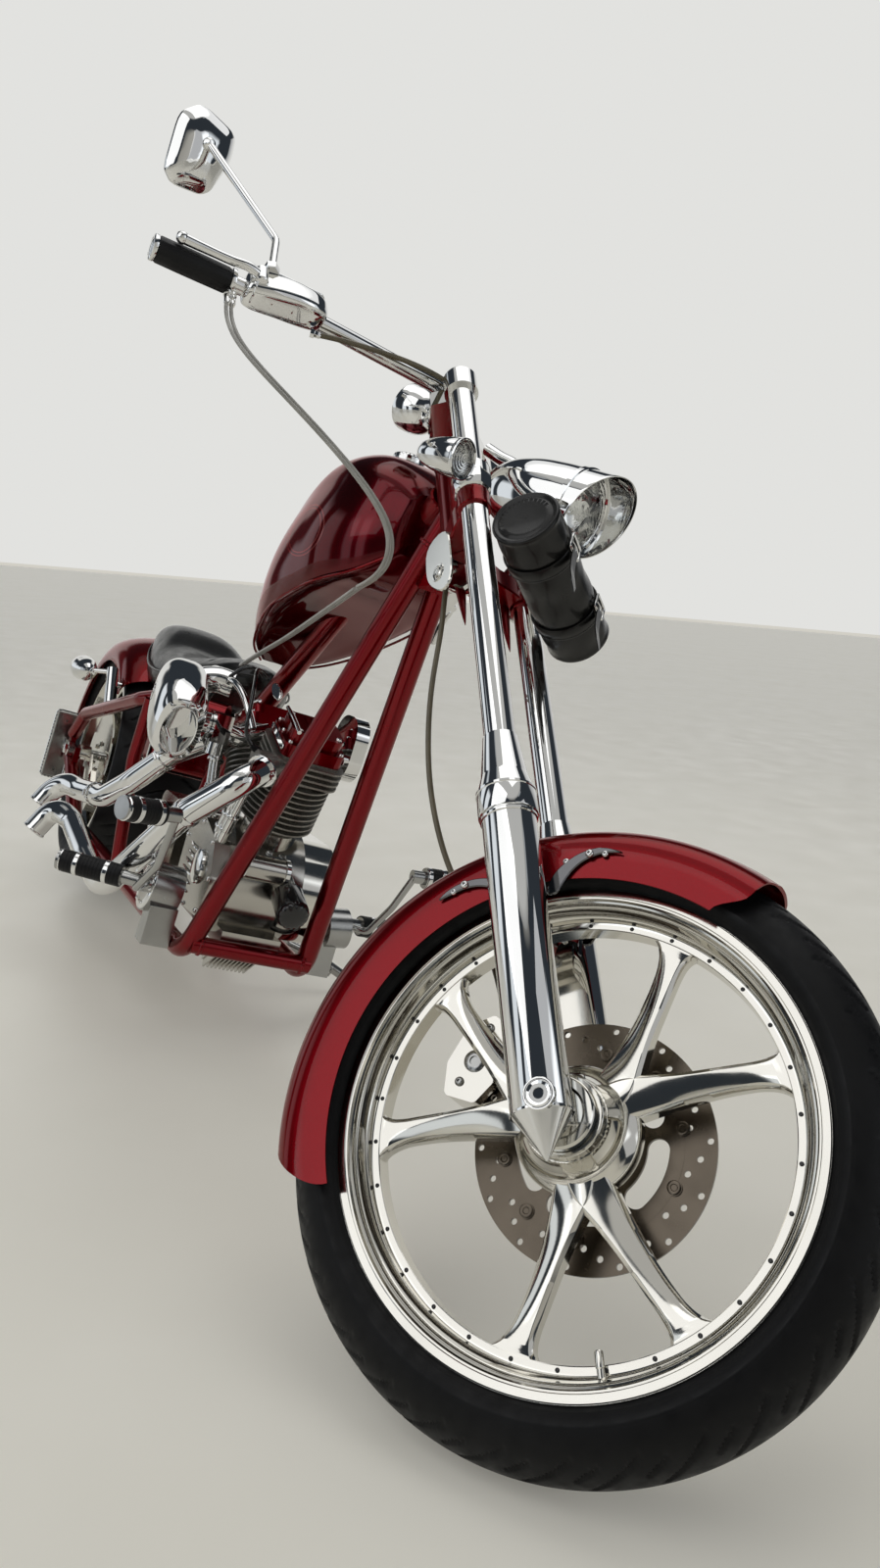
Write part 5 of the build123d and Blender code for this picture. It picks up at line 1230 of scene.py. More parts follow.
def tool_roll():
    """Leather roll: a slightly full cylinder with stitched ends and two buckled straps with loose tails.

    The body swells in four waves of 0.9 sin^2 along its length, and fine sines of the angle crease it.
    """
    near, far = np.array([67.0, -134.0, 822.0]), np.array([69.0, 130.0, 800.0])
    along = unit(far - near)
    rows = [(1.5, 0), (1.5, 30), (0.6, 38), (2.0, 40), (1.0, 43), (-1.0, 46), (0, 49.0), (3, 50.6), (7, 49.6)]
    for s in np.linspace(10, 254, 60):
        fullness = 0.9 * math.sin(math.pi * (s - 10) / 61) ** 2
        rows.append((s, 49.3 + fullness))
    rows += [(257, 49.6), (261, 50.6), (264, 49.0), (265.5, 46), (263.5, 43), (262.5, 40), (264.4, 38),
             (263, 30), (263, 0)]
    body = lathe(rows, near, along, 120, False, lambda a, row: 0.35 * np.sin(3 * a + row * 0.3)
                 + 0.25 * np.sin(7 * a - row * 0.5) * ((row > 8) & (row < 68)))
    roll = build("tool_roll_body", [body], "fork", LEATHER, ("tool_roll",), 60)
    straps, metal_parts, thread = [], [], []
    e1 = unit(np.array([1.0, 0, 0.0]) - along * along[0])
    e2 = np.cross(along, e1)
    for s in (68, 196):
        loop = [(s - 11, 50.4), (s - 11, 52.4), (s - 10, 53), (s + 10, 53), (s + 11, 52.4), (s + 11, 50.4)]
        straps.append(band(loop, near, along, 96))
        for edge in (-8.5, 8.5):
            thread += stitches(near + along * (s + edge), e1, e2, 53.1, 100, (0.2, 0.75), 0.35, 0.45)
        a = math.radians(18)
        out = math.cos(a) * e1 + math.sin(a) * e2
        down = math.sin(a) * e1 - math.cos(a) * e2
        down = down if down[2] < 0 else -down
        at = near + along * s + out * 54.4
        metal_parts += buckle(at, along, out, down)
        straps.append(strap_tail(at, along, out, down))
    build("tool_roll_straps", straps, "fork", LEATHER, (), 40)
    build("tool_roll_buckles", metal_parts, "fork", CHROME)
    for s in (1.4, 262.2):
        thread += stitches(near + along * s, e1, e2, 44.6, 90, (0, 0.55), 0.0, 0.5)
    build("tool_roll_stitching", thread, "fork", RUBBER)


def legs():
    """Lower legs with pointed ends, and the thin claw brackets that hold the fender."""
    outline = [(-61, 0), (-60, 1.5), (-56, 4), (-12.5, 33), (-11, 33.8), (351, 33.8), (352, 35), (352.6, 37),
               (353.6, 37.4), (382, 37.4), (384, 37), (409, 30.2), (412, 29.6), (470, 22.5), (471, 21),
               (471, 0)]
    parts = []
    for side in (-1, 1):
        parts.append(lathe(outline, (LEG_X, side * LEG_Y, 0), (0, 0, 1), 96))
        ring = [(28, 14), (28, 17.5), (34.2, 17.5), (35, 16.8), (35, 15.6), (31, 15), (31, 14)]
        parts.append(band(ring, (0, side * LEG_Y, 0), (0, side, 0), 56))
    build("fork_legs", parts, "fork", CHROME, ("fork_sliders",), 35)
    claws, pins = [], []
    claw_back = softened([(-124, 285), (-108, 298), (-84, 305), (-60, 304), (-40, 296), (-30, 284),
                          (-30, 276), (-42, 282), (-62, 293), (-84, 295), (-104, 290)], 2)
    claw_front = softened([(14, 262), (26, 284), (44, 298), (66, 307), (92, 308), (122, 290), (96, 299),
                           (70, 296), (50, 284), (36, 268), (28, 258)], 2)
    for side in (-1, 1):
        for claw in (claw_back, claw_front):
            claws.append(plate(claw, 4.5, (0, side * 80.6, 0), (1, 0, 0), (0, -1, 0), 1.4))
        for x, z in ((-84, 299), (76, 301)):
            pins += dome_bolt((x, side * 83, z), (0, side, 0), r=5.2, tall=4)
        pins.append(lathe([(0, 0), (0, 8), (44, 8), (44, 0)], (LEG_X, side * 80, 283), (0, side, 0), 24))
    build("fender_claws", claws, "fork", SMOKED)
    build("fender_claw_bolts", pins, "fork", CHROME)


def lower_tree():
    """Painted lower tree: three collars, a scalloped web and two tapering fangs, with its bright cover."""
    up = (0, 0, 1)
    collar = [(876, 20.6), (876, 24), (877.5, 25.2), (890, 24.4), (900, 24.4), (906, 25.2), (908, 24.4),
              (908, 20.6)]
    parts = [band(collar, (LEG_X, y, 0), up, 72) for y in (-LEG_Y, LEG_Y)]
    parts.append(band([(876, 18.2), (876, 34.5), (878, 36), (920, 36), (922, 34.5), (922, 18.2)],
                      (-AXLE_AHEAD, 0, 0), up, 72))
    web = softened([(-98, -24), (-74, -66), (-38, -114), (-20, -118), (0, -106), (-12, -70), (-30, -36),
                    (-30, 36), (-12, 70), (0, 106), (-20, 118), (-38, 114), (-74, 66), (-98, 24)], 2)
    parts.append(plate(web, 36, (0, 0, 899), (1, 0, 0), up, 2.5))
    for x, y in ((-82, 14), (-40, LEG_Y - 18)):
        rings = []
        for q in np.linspace(0, 1, 14):
            size = 12 * (1 - q) ** 0.8 + 0.6
            rings.append(oval((x + 3 * q, y, 890 - 98 * q), (size * 0.8, 0, 0), (0, size, 0), 0.8, 28))
        parts.append(shell(rings))
    build("lower_tree_body", parts, "fork", PAINT, ("lower_tree",), 35)
    turn = unit((0.82, -0.57, 0.0))
    face = np.array([-0.57, -0.82, 0.0])
    cover = softened([(-32, 42), (-38, -12), (-30, -40), (0, -74), (24, -62), (30, -20), (26, 42)], 2)
    at = np.array([-84.0, -66.0, 868.0])
    bright = [plate(cover, 5, at, turn, face, 1.5)]
    spot = at - turn * 6 + np.array([0, 0, -30.0])
    bright.append(band([(2.4, 9), (3.6, 11), (3.6, 14), (2.2, 15)], spot, face, 48))
    bright.append(lathe([(1, 0), (1, 8.5), (3.0, 8.5), (4.4, 6), (3.4, 3.2), (3.4, 0)], spot, face, 32))
    build("steering_cover_plate", bright, "fork", POLISHED)
    nut = [(908.3, 20.7), (908.3, 25), (911, 28.5), (920, 30.5), (938, 31), (942, 30), (944, 27), (944, 20.7)]
    nuts = [band(nut, (LEG_X, y, 0), up, 8) for y in (-LEG_Y, LEG_Y)]
    build("cup_nuts", nuts, "fork", CHROME)


def fork_parts():
    """Rings on the legs, axle caps, tree bolts, stem nuts and the caliper's screws."""
    bright, up = [], (0, 0, 1)
    for side in (-1, 1):
        at = (LEG_X, side * LEG_Y, 0)
        bright.append(band([(346, 34.0), (347, 35.6), (350, 35.6), (351, 34.0)], at, up))
        bright.append(band([(383, 37.1), (384, 38.2), (387, 38.0), (388, 36.8)], at, up))
        bright.append(band([(-13.5, 33.9), (-12.8, 34.7), (-10.2, 34.7), (-9.5, 33.9)], at, up))
        bright.append(lathe([(1168, 0), (1168, 23), (1170, 24), (1173, 24), (1176, 20), (1177, 0)], at, up))
        bright.append(lathe([(1176, 0), (1176, 11), (1183, 11), (1184, 10), (1184, 0)], at, up, 6))
        bright.append(band([(LEG_Y + 34.2, 9), (LEG_Y + 35.4, 10), (LEG_Y + 36.0, 13), (LEG_Y + 34.0, 14.8)],
                           (0, 0, 0), (0, side, 0)))
    bright.append(lathe([(1171, 0), (1171, 17), (1178, 17), (1182, 13), (1184, 6), (1184, 0)],
                        (-AXLE_AHEAD, 0, 0), up, 6))
    bright.append(band([(875.4, 36.2), (874, 38.5), (870, 38.5), (869, 34)], (-AXLE_AHEAD, 0, 0), up))
    build("fork_trim", bright, "fork", CHROME)
    screws = []
    for x, z in ((-150, 100), (-122, 142), (-92, 158), (-120, 90)):
        screws += dome_bolt((x, 98.2, z), (0, 1, 0), r=5.5, tall=4)
    for x, z in ((-62, 158), (-34, 212), (-20, 246)):
        screws += hex_bolt((x, 79.2, z), (0, -1, 0), r=6, tall=5)
    for x, z, r, tall in ((-128, 118, 14, 3), (-150, 96, 6, 4), (-104, 156, 6, 4)):
        screws += dome_bolt((x, 33.8, z), (0, -1, 0), r=r, tall=tall)
    build("front_caliper_screws", screws, "fork", STEEL)


def cables():
    """Brake hoses and throttle cables on their smooth routes, and their end fittings."""
    brake = [(-90, -16, 874.4), (-100, -12, 840), (-110, -4, 780), (-146, 20, 700), (-168, 40, 560),
             (-162, 62, 450), (-150, 88, 390), (-112, 92, 300), (-99, 86, 215), (-98, 84, 180)]
    hand = [(-184, -296, 1166), (-156, -276, 1166), (-110, -228, 1172), (-60, -168, 1180), (-24, -108, 1184),
            (-18, -66, 1186), (-18, -46, 1181), (-18, -44, 1166)]
    flexible("brake_lines", [brake, hand], 4.2, "fork", HOSE, ("brake_hoses",))
    end = np.array([-208.6, -80.5, 842.2])
    first = [(-262, -398, 1166), (-263, -402, 1130), (-254, -407, 1060), (-206, -348, 990), (-150, -266, 915),
             (-112, -190, 845), (-122, -160, 796), (-160, -128, 800), tuple(end)]
    second = [(x - 3, y - 9, z - 6) for x, y, z in first]
    flexible("throttle_lines_upper", [first, second], 2.9, "fork", CABLE, ("throttle_upper",))
    low = [(1560, -150, 870), (1480, -137, 854), (1410, -128, 838), (1300, -120, 805), (1180, -112, 768),
           (1060, -108, 736), (960, -104, 704)]
    other = [(x, y - 9, z - 5) for x, y, z in low]
    flexible("throttle_lines_lower", [low, other], 2.9, "frame", CABLE, ("throttle_lower",))
    union = [(-14, 0), (-14, 4.6), (-12, 5.6), (-5, 5.6), (-4, 7.4), (2, 7.4), (2, 0)]
    ferrule = [(-20, 0), (-20, 4.2), (-17, 5.0), (0, 5.0), (1, 6.2), (7, 6.2), (7, 0)]
    ends = [lathe(union, p, way, 6)
            for p, way in (((-90, -16, 875.6), (0.1, 0, 1)), ((-98, 84, 182), (0, 0, 1)),
                           ((-18, -44, 1167), (0, 0, 1)), ((-184, -296, 1168), (-1, -0.8, 0.2)))]
    ends += [lathe(ferrule, p, (0, 0, 1), 12) for p in ((-262, -398, 1166), (-265, -407, 1160))]
    build("hose_ends", ends, "fork", CHROME)


CRANK = np.array([1040.0, 0.0, 298.0])
TILTS = {"front": 20.0, "rear": -25.0}
HEAD_BASE = 254.8


def bank(which):
    """Direction out along a cylinder and the level direction across it."""
    t = math.radians(TILTS[which])
    return np.array([math.sin(t), 0, math.cos(t)]), np.array([math.cos(t), 0, -math.sin(t)])


def rod_collars(which, a):
    """Four bright collars and a bent clip on each pushrod tube of a cylinder."""
    parts = []
    for dx in ((34, 62) if which == "front" else (-34, -62)):
        foot = CRANK + np.array([dx, -96.0, 74.0])
        head = CRANK + a * (HEAD_BASE + 5) + np.array([0.85 * dx, -90.0, 0])
        way = unit(head - foot)
        long = np.linalg.norm(head - foot)
        for s in (26, 58, long - 42, long - 16):
            half = [(3, 8), (3, 13), (1, 14)]
            collar = [(s - u, r) for u, r in half] + [(s + u, r) for u, r in half[::-1]]
            parts.append(band(collar, foot, way, 32))
        clip = [foot + way * 60, foot + way * 78 + (0, -11, 0), foot + way * 92 + (0, -9, 0)]
        parts.append(tube(smooth(clip, 12), 1.3, 8))
    return parts


def case_trim():
    """Screws, caps and ribs of the cam cover, the transmission's end and the primary cover."""
    parts, right, left = [], (0, -1, 0), (0, 1, 0)
    for x, z in ((946, 226), (1034, 222), (1120, 232), (1142, 300), (1104, 362), (1020, 386), (942, 342)):
        parts += dome_bolt((x, -110.3, z), right, r=5, tall=4)
    parts.append(lathe([(0, 0), (0, 34), (3, 35), (6, 33), (8, 26), (9, 0)], (1066, -110, 306), right, 72,
                       False, grooves(0.6, 20, (1, 2), 0.2)))
    for k in range(6):
        rib = smooth([(962 + 4 * k, -111, 250 + 17 * k), (1012 + 3 * k, -113, 246 + 17 * k),
                      (1034, -111, 245 + 17 * k)], 10)
        parts.append(tube(rib, 2.2, 10))
    parts += ring_of(dome_bolt, (770, -128.2, 300), right, 64, 8, r=4.5, tall=4)
    parts.append(lathe([(0, 0), (0, 40), (3, 42), (7, 38), (9, 24), (10, 0)], (770, -128, 300), right, 64))
    corner_r, half_reach, screws = 96, 135, 24
    for k in range(screws):
        t = 2 * math.pi * k / screws
        x = corner_r * math.cos(t) + (half_reach if math.cos(t) > 0 else -half_reach)
        parts += dome_bolt((890 + x, 152.2, 292 + corner_r * math.sin(t)), left, r=4.2, tall=3.6)
    parts.append(lathe([(0, 0), (0, 62), (4, 64), (8, 60), (10, 40), (11, 0)], (765, 152, 292), left, 96))
    parts += ring_of(dome_bolt, (765, 160.5, 292), left, 54, 5, r=4.5, tall=4)
    return parts


def engine():
    """Rocker bolts and trim, spark plugs, boots and leads, pushrod collars, case trim and vent hoses."""
    bright, dull, dark, leads, red = [], [], [], [], []
    for which in TILTS:
        a, across = bank(which)
        side = np.array([0, 1.0, 0])
        box = CRANK + a * (HEAD_BASE + 48.3)
        for u, v in ((-46, -52), (46, -52), (-46, 52), (46, 52), (0, -55), (0, 55)):
            bright += dome_bolt(box + across * u + side * v + a * 26.3, a, r=4.6, tall=5)
        for u, v in ((-34, -40), (34, -40), (-34, 40), (34, 40)):
            bright += hex_bolt(box + across * u + side * v + a * 50.2, a, r=4.4, tall=4)
        for v in (-62.6, 62.6):
            bright.append(plate(rounded(96, 12, 5), 2.2, box + side * v + a * 13, across, side, 0.8))
        for v in (-14, 0, 14):
            red.append(plate(rounded(70, 3.2, 1.5), 2.0, box + side * v + a * 50.6, across, a, 0.6))
        rail = smooth([box + across * -52 + side * -46 + a * 52, box + across * -20 + side * -47 + a * 55,
                       box + across * 20 + side * -47 + a * 55, box + across * 52 + side * -46 + a * 52], 24)
        bright.append(tube(rail, 4.2, 14))
        plug = CRANK + a * (HEAD_BASE + 20) + across * (26 if which == "front" else -26) + side * -70
        out = unit(side * -1 + a * 0.45)
        dull.append(lathe([(-4, 0), (-4, 8), (8, 8), (8.5, 0)], plug, out, 6))
        bright.append(lathe([(8, 0), (8, 5), (20, 4.6), (20, 0)], plug, out, 20))
        dark.append(lathe([(16, 0), (16, 6.8), (28, 7.4), (40, 6.6), (46, 5), (47, 0)], plug, out, 24))
        coil = np.array([990.0 if which == "front" else 960.0, -60.0, 690.0])
        leads.append([plug + out * 44, plug + out * 70 + a * 6, plug + out * 76 + a * 50,
                      (plug + coil) / 2 + np.array([0, -46, 70]), coil + np.array([0, -30, 20]), coil])
        bright += rod_collars(which, a)
    bright += case_trim()
    for y in (-40, -12, 16):
        dull += hex_bolt((1150, y, 372), (0.4, 0, 1), r=6, tall=6)
    for y in (-66, 20):
        bright.append(band([(-4, 24.1), (-4, 27), (4, 27), (4, 24.1)], (1172, y, 346), (0, 1, 0), 48))
    build("engine_bright_parts", bright, "frame", CHROME)
    build("engine_studs", dull, "frame", STEEL)
    build("plug_boots", dark, "frame", RUBBER)
    build("rocker_ribs", red, "frame", PAINT)
    flexible("plug_leads", leads, 3.8, "frame", BLACK)
    vents = [[(1150, -30, 400), (1176, -30, 430), (1186, -24, 490), (1178, -10, 560), (1150, 10, 640)],
             [(1120, 40, 232), (1180, 60, 226), (1215, 70, 250), (1222, 60, 300)]]
    flexible("engine_vent_hoses", vents, 5.0, "frame", BLACK)


def filter_can():
    """Spun oil filter: domed black can, fluted for the wrench at its end."""
    a = unit((0.93, 0.0, -0.36))
    rows = [(0, 0), (0, 24), (1, 30), (3, 31), (56, 31), (64, 30.4), (70, 27), (74, 18), (75, 0)]
    can = lathe(rows, (1183, 34, 308), a, 96, False, grooves(0.9, 15, (5, 6)))
    build("filter_can", [can], "frame", BLACK, ("oil_filter",))


def scoop():
    """Ram air scoop: rounded-box sections joined smoothly, a rolled oval lip, an open throat and its arm.

    A section's place, width and height stand in each row of the table.
    """
    ahead = unit((0.93, -0.06, -0.36))
    side = unit(np.cross((0, 0, 1.0), ahead))
    up = np.cross(ahead, side)
    table = [((866, -194, 638), 26, 38), ((872, -196, 634), 54, 74), ((888, -199, 626), 80, 112),
             ((905, -203, 616), 95, 132), ((936, -207, 599), 101, 146), ((970, -211, 582), 102, 150),
             ((1000, -214, 569), 100, 148), ((1024, -216, 558), 94, 140), ((1044, -218, 549), 84, 124)]
    around, along = 80, 46
    sections = [oval(at, side * wide / 2, up * tall / 2, 0.66, around) for at, wide, tall in table]
    rows = smooth(np.array(sections).reshape(len(table), -1), along).reshape(along, around, 3)
    middle = rows[-1].mean(axis=0)
    mouth = oval(middle, side * 33, up * 52, 1.0, around)
    throat = [middle + (mouth - middle) * share + ahead * s
              for share, s in ((1.0, 4.5), (0.94, 3), (0.93, -4), (0.9, -26), (0.84, -46), (0.0, -46))]
    first = np.repeat(rows[0].mean(axis=0)[None] - ahead * 6, around, axis=0)
    body = skin([first, *rows, rows[-1] * 0.55 + (mouth + ahead * 4) * 0.45, *throat])
    arm = [(904, -98, 655), (894, -128, 656), (892, -156, 648), (900, -184, 634), (908, -200, 622)]
    boss = lathe([(0, 0), (0, 20), (17, 20), (17.4, 19), (17.4, 0)], (1020, -175, 575), (0, 1, 0), 48)
    parts = [body, tube(smooth(arm, 30), 27, 36), boss]
    for u, v in ((-1, 1), (1, 1), (-1, -1), (1, -1)):
        parts += dome_bolt(np.array((936, -207, 599)) + side * 36 * u + up * 56 * v, side * u + up * v * 0.7,
                           r=4.5, tall=3.5)
    build("air_scoop_shell", parts, "frame", CHROME, ("air_scoop",), 50)


def denser(line, pitch):
    """Line with points added evenly between its own, so that they lie about a pitch apart."""
    out = [line[0]]
    for a, b in zip(line[:-1], line[1:]):
        n = max(1, int(np.linalg.norm(b - a) / pitch))
        out += [a + (b - a) * k / n for k in range(1, n + 1)]
    return np.array(out)


def exhausts():
    """Both pipes with port flanges and their bolts, clamps, open turned-out ends and dark bores."""
    front = [(1216, -95, 530), (1254, -140, 505), (1190, -206, 414), (945, -249, 200), (780, -258, 222),
             (600, -268, 256), (534, -300, 270), (532, -332, 205)]
    rear = [(842, -98, 528), (802, -150, 480), (722, -195, 392), (600, -216, 326), (480, -248, 312),
            (404, -280, 314), (400, -312, 246)]
    runs = [bent(front, [40, 100, 120, 300, 60, 38], 6), bent(rear, [40, 100, 120, 160, 60, 38], 6)]
    clamp = [(-6, 25.5), (-6, 27.4), (-4.4, 28.2), (4.4, 28.2), (6, 27.4), (6, 25.5)]
    rim = [(-5, 25.5), (-4, 26.6), (-1, 26.9), (0.6, 26.0), (0.6, 24.2), (-1, 23.2)]
    shells, rings = [], []
    for pts, line in ((front, runs[0]), (rear, runs[1])):
        fine = denser(line, 9)
        shells.append(pipe(fine, PIPE_R, 2.2, 44, 16))
        start, way = np.array(pts[0], float), unit(np.subtract(pts[1], pts[0]))
        rings.append(lathe([(0, 0), (0, 30), (1, 31), (4, 31), (5, 30), (5, 25)], start, way, 48))
        for off in (-25.2, 25.2):
            rings += hex_bolt(start + basis(way)[0] * off + way * 5, way, r=5, tall=6)
        for share in (0.18, 0.62):
            here = int(len(fine) * share)
            at, along = fine[here], unit(fine[here + 1] - fine[here])
            rings.append(band(clamp, at, along, 48))
            e1, e2 = basis(along)
            rings.append(lathe([(-7, 0), (-7, 3.4), (7, 3.4), (7, 0)], at + e1 * 29.5, e2, 16))
        rings.append(band(rim, fine[-1], unit(fine[-1] - fine[-2]), 48))
    build("exhaust_pipes", shells, "frame", CHROME, ("exhausts",), 50)
    build("exhaust_clamps", rings, "frame", CHROME)
    bore = [(-30, 0), (-30, 22.8), (-8, 22.8), (-8, 22.2), (-29, 22.2), (-29, 0)]
    inner = [lathe(bore, line[-1], unit(line[-1] - line[-2]), 40) for line in runs]
    build("exhaust_bores", inner, "frame", PIPE_INSIDE)


def ring_bead(at, axis, radius, size):
    """Weld bead round a tube, its two middle rows rippled by 0.5 sin(24 angle)."""
    rows = [(-size, radius - 0.6), (-size * 0.5, radius + size * 0.6), (size * 0.5, radius + size * 0.6),
            (size, radius - 0.6)]
    return band(rows, at, axis, 72, lambda a, row: 0.5 * np.sin(24 * a) * np.isin(row, (1, 2)))


def number_plate():
    """Blank plate and the chain-like border round it, its links tilted in turn one way and the other."""
    wide, tall, middle = 60, 190, (-208, 330)
    grey = plate(rounded(54, 184, 5, 5), 2.2, (-145.3, *middle), (0, 1, 0), (-1, 0, 0), 0.6)
    build("number_plate_blank", [grey], "frame", PLATE_GREY)
    line = rounded(wide, tall, 8, 5)
    line = np.array(line + line[:1]) + middle
    length = np.r_[0, np.cumsum(np.linalg.norm(np.diff(line, axis=0), axis=1))]
    chain = []
    for k, s in enumerate(np.arange(0, length[-1], 9.0)):
        y, z = (np.interp([s, min(s + 8.6, length[-1])], length, line[:, axis]) for axis in (0, 1))
        x = -148.3 if k % 2 else -146.7
        chain.append(tube([(x, y[0], z[0]), (x - 1, y.mean(), z.mean()), (x, y[1], z[1])], 2.6, 8))
    for dz in (-70, 70):
        chain += dome_bolt((-146.5, -208, 330 + dz), (-1, 0, 0), r=4.5, tall=3)
    build("number_plate_chain", chain, "frame", CHROME)


def frame_parts():
    """Weld beads and neck cups, axle nuts and adjusters, oil tank cap and straps, brackets and hoses."""
    paint, bright = [], []
    low = FORK_ORIGIN - AHEAD * AXLE_AHEAD + UP * 930
    for s in (0, 198):
        cup = [(s - 7, 33.2), (s - 7, 35.2), (s, 36.6), (s + 7, 35.2), (s + 7, 33.2)]
        paint.append(band(cup, low, UP, 72))
    paint.append(ring_bead((1420, 0, 1066), (0.82, 0, 0.57), 22, 4))
    for x, y, z in ((1178, -103, 182), (1178, 103, 182), (590, -117, 158), (590, 117, 158)):
        paint.append(ring_bead((x, y, z), (0, 1, 0), 17, 4))
    for side in (-1, 1):
        top = np.array([1494, side * 11.2, 1034.8])
        foot = np.array([1159, side * 120.0, 158.0])
        way = unit(foot - top)
        paint.append(ring_bead(top + way * 58, way, 19.5, 4.5))
        bright += hex_bolt((0, side * 212.2, REAR_AXLE_Z), (0, side, 0), r=14, tall=10)
        bright.append(plate(rounded(60, 34, 6), 4, (-96, side * 197.6, 336), (1, 0, 0), (0, side, 0), 1))
        bright += hex_bolt((-118, side * 199.8, 336), (0, side, 0), r=5.5, tall=5)
        bright.append(lathe([(0, 0), (0, 5), (30, 5), (30, 0)], (-102, side * 192, 336), (-1, 0, 0), 16))
    build("frame_welds", paint, "frame", PAINT)
    cap = [(0, 0), (0, 19), (3, 20), (10, 20), (13, 18), (15, 0)]
    bright.append(lathe(cap, (450, -70, 534), (0, 0, 1), 48, False, grooves(0.8, 18, (2, 3))))
    for x in (436, 504):
        strap = rounded(252.4, 132.4, 29, 8)
        ring = []
        for inset, dx in ((0.0, -7), (1.4, -6), (1.4, 6), (0.0, 7)):
            ring.append([(x + dx, u * (1 + inset / 126), 470 + v * (1 + inset / 66)) for u, v in strap])
        bright.append(skin(ring, True))
    for points, samples, radius, sides in (
            ([(760, -92, 672), (806, -120, 668), (836, -140, 640), (846, -150, 600)], 30, 10, 24),
            ([(905, -110, 655), (952, -118, 664), (1000, -110, 652), (1046, -96, 618), (1062, -84, 590)],
             36, 7, 20)):
        bright.append(tube(smooth(points, samples), radius, sides))
    badge = [(34 * math.cos(t), 12 * math.sin(t)) for t in np.linspace(0, 2 * math.pi, 41)[:-1]]
    bright.append(plate(badge, 6, (1118, -78, 672), (1, 0, -0.3), (0, -1, 0.1), 2))
    build("frame_bright_parts", bright, "frame", CHROME)
    number_plate()


def peg_sleeve(inner, outer, first):
    """Grooved rubber over a peg between its bright bands, and the bands' rounded edges."""
    a, b = np.array(inner, float), np.array(outer, float)
    long = np.linalg.norm(b - a)
    d = unit(b - a)
    rows = [(first, 18), (first, 20.4), (first + 1.5, 21.2)]
    s = first + 4
    while s < long - 8:
        rows += [(s, 21.4), (s + 5.4, 21.4), (s + 5.8, 20.9), (s + 6.4, 20.9)]
        s += 6.8
    rows += [(long - 1.5, 21.2), (long - 0.5, 18)]
    sleeve = band(rows, a, d, 40)
    rings = []
    half = [(4.4, 18), (4.2, 21.6), (3.4, 22.2)]
    for m in (0.42 * long, 0.8 * long):
        rings.append(band([(m - u, r) for u, r in half] + [(m + u, r) for u, r in half[::-1]], a, d, 48))
    end = [(-1, 0), (-1, 20.8), (1, 21.2), (2.4, 19.6), (2.8, 8), (2.8, 0)]
    rings.append(lathe([(long + s, r) for s, r in end], a, d, 48))
    return sleeve, rings


def controls():
    """Rubber on the four pegs, drum lids and their screws, and the side stand's spring."""
    sleeves, rings = [], []
    for inner, outer in (((1090, -220, 259), (1016, -352, 254)), ((1345, -258, 434), (1385, -356, 433)),
                         ((1110, 203, 262), (1090, 345, 262)), ((1222, 258, 404), (1226, 336, 410))):
        sleeve, bands = peg_sleeve(inner, outer, 34)
        sleeves.append(sleeve)
        rings += bands
    for centre, way, r in (((1070, -198, 252), (0, -57, 6), 50), ((1110, 205, 252), (0, 46, 6), 40)):
        lid = [(-0.5, 0), (-0.5, r - 2), (2, r - 3), (4, r - 8), (4.5, r - 16), (3, r - 18), (3, 0)]
        rings.append(lathe(lid, centre, way, 64))
        rings += ring_of(dome_bolt, np.array(centre) + unit(way) * 3.8, way, r - 12, 6, r=3.6, tall=3)
    rings += hex_bolt((1090, -222.5, 258), (0, -1, 0), r=9, tall=7)
    build("peg_rubber", sleeves, "frame", RUBBER)
    build("control_trim", rings, "frame", CHROME)
    coil, turns = [], 18
    a, b = np.array([900.0, 196.0, 142.0]), np.array([944.0, 284.0, 116.0])
    e1, e2 = basis(b - a)
    for t in np.linspace(0, 1, 260):
        w = 2 * math.pi * turns * t
        radius = 14.5 if 0.03 < t < 0.97 else 11.6
        coil.append(a + (b - a) * t + radius * (math.cos(w) * e1 + math.sin(w) * e2))
    build("stand_spring", [tube(coil, 1.6, 8)], "stand", STEEL)


def stage():
    """Pale floor, level as far as the horizon, its colour drifting slightly so it reads as a surface."""
    s = Shader("studio_floor")
    s.link(s.mix(s.span(s.noise(1.3, 4.0), 0.3, 0.7, 0, 1), (0.70, 0.675, 0.59), (0.75, 0.725, 0.65)),
           "Base Color")
    s.link(s.span(s.noise(6.0, 3.0), 0.3, 0.7, 0.30, 0.40), "Roughness")
    s.link(s.bump(s.noise(160, 2.0), 0.03, 0.0005), "Normal")
    rays = s.tree.nodes.new("ShaderNodeLightPath").outputs
    seen = rays["Is Camera Ray"]
    for other in ("Is Glossy Ray", "Is Transmission Ray"):
        seen = calc(s.tree, "MAXIMUM", seen, rays[other])
    s.set(Emission_Color=(0.86, 0.83, 0.74, 1))
    s.link(s.span(seen, 0, 1, 0, 0.2), "Emission Strength")
    sides, level = 96, -0.0006
    angle = np.arange(sides) * 2 * math.pi / sides
    ring = np.stack([np.cos(angle), np.sin(angle), np.zeros(sides)], axis=-1)
    rings = [ring * r + [0, 0, level] for r in (0.0, *np.linspace(0.5, 14, 28), 20, 30, 45, 70)]
    mesh = welded_mesh("floor", *skin(rings))
    if sum(face.normal.z for face in mesh.polygons) < 0:
        mesh.flip_normals()
    mesh.materials.append(s.material)
    floor = in_scene("floor", mesh)


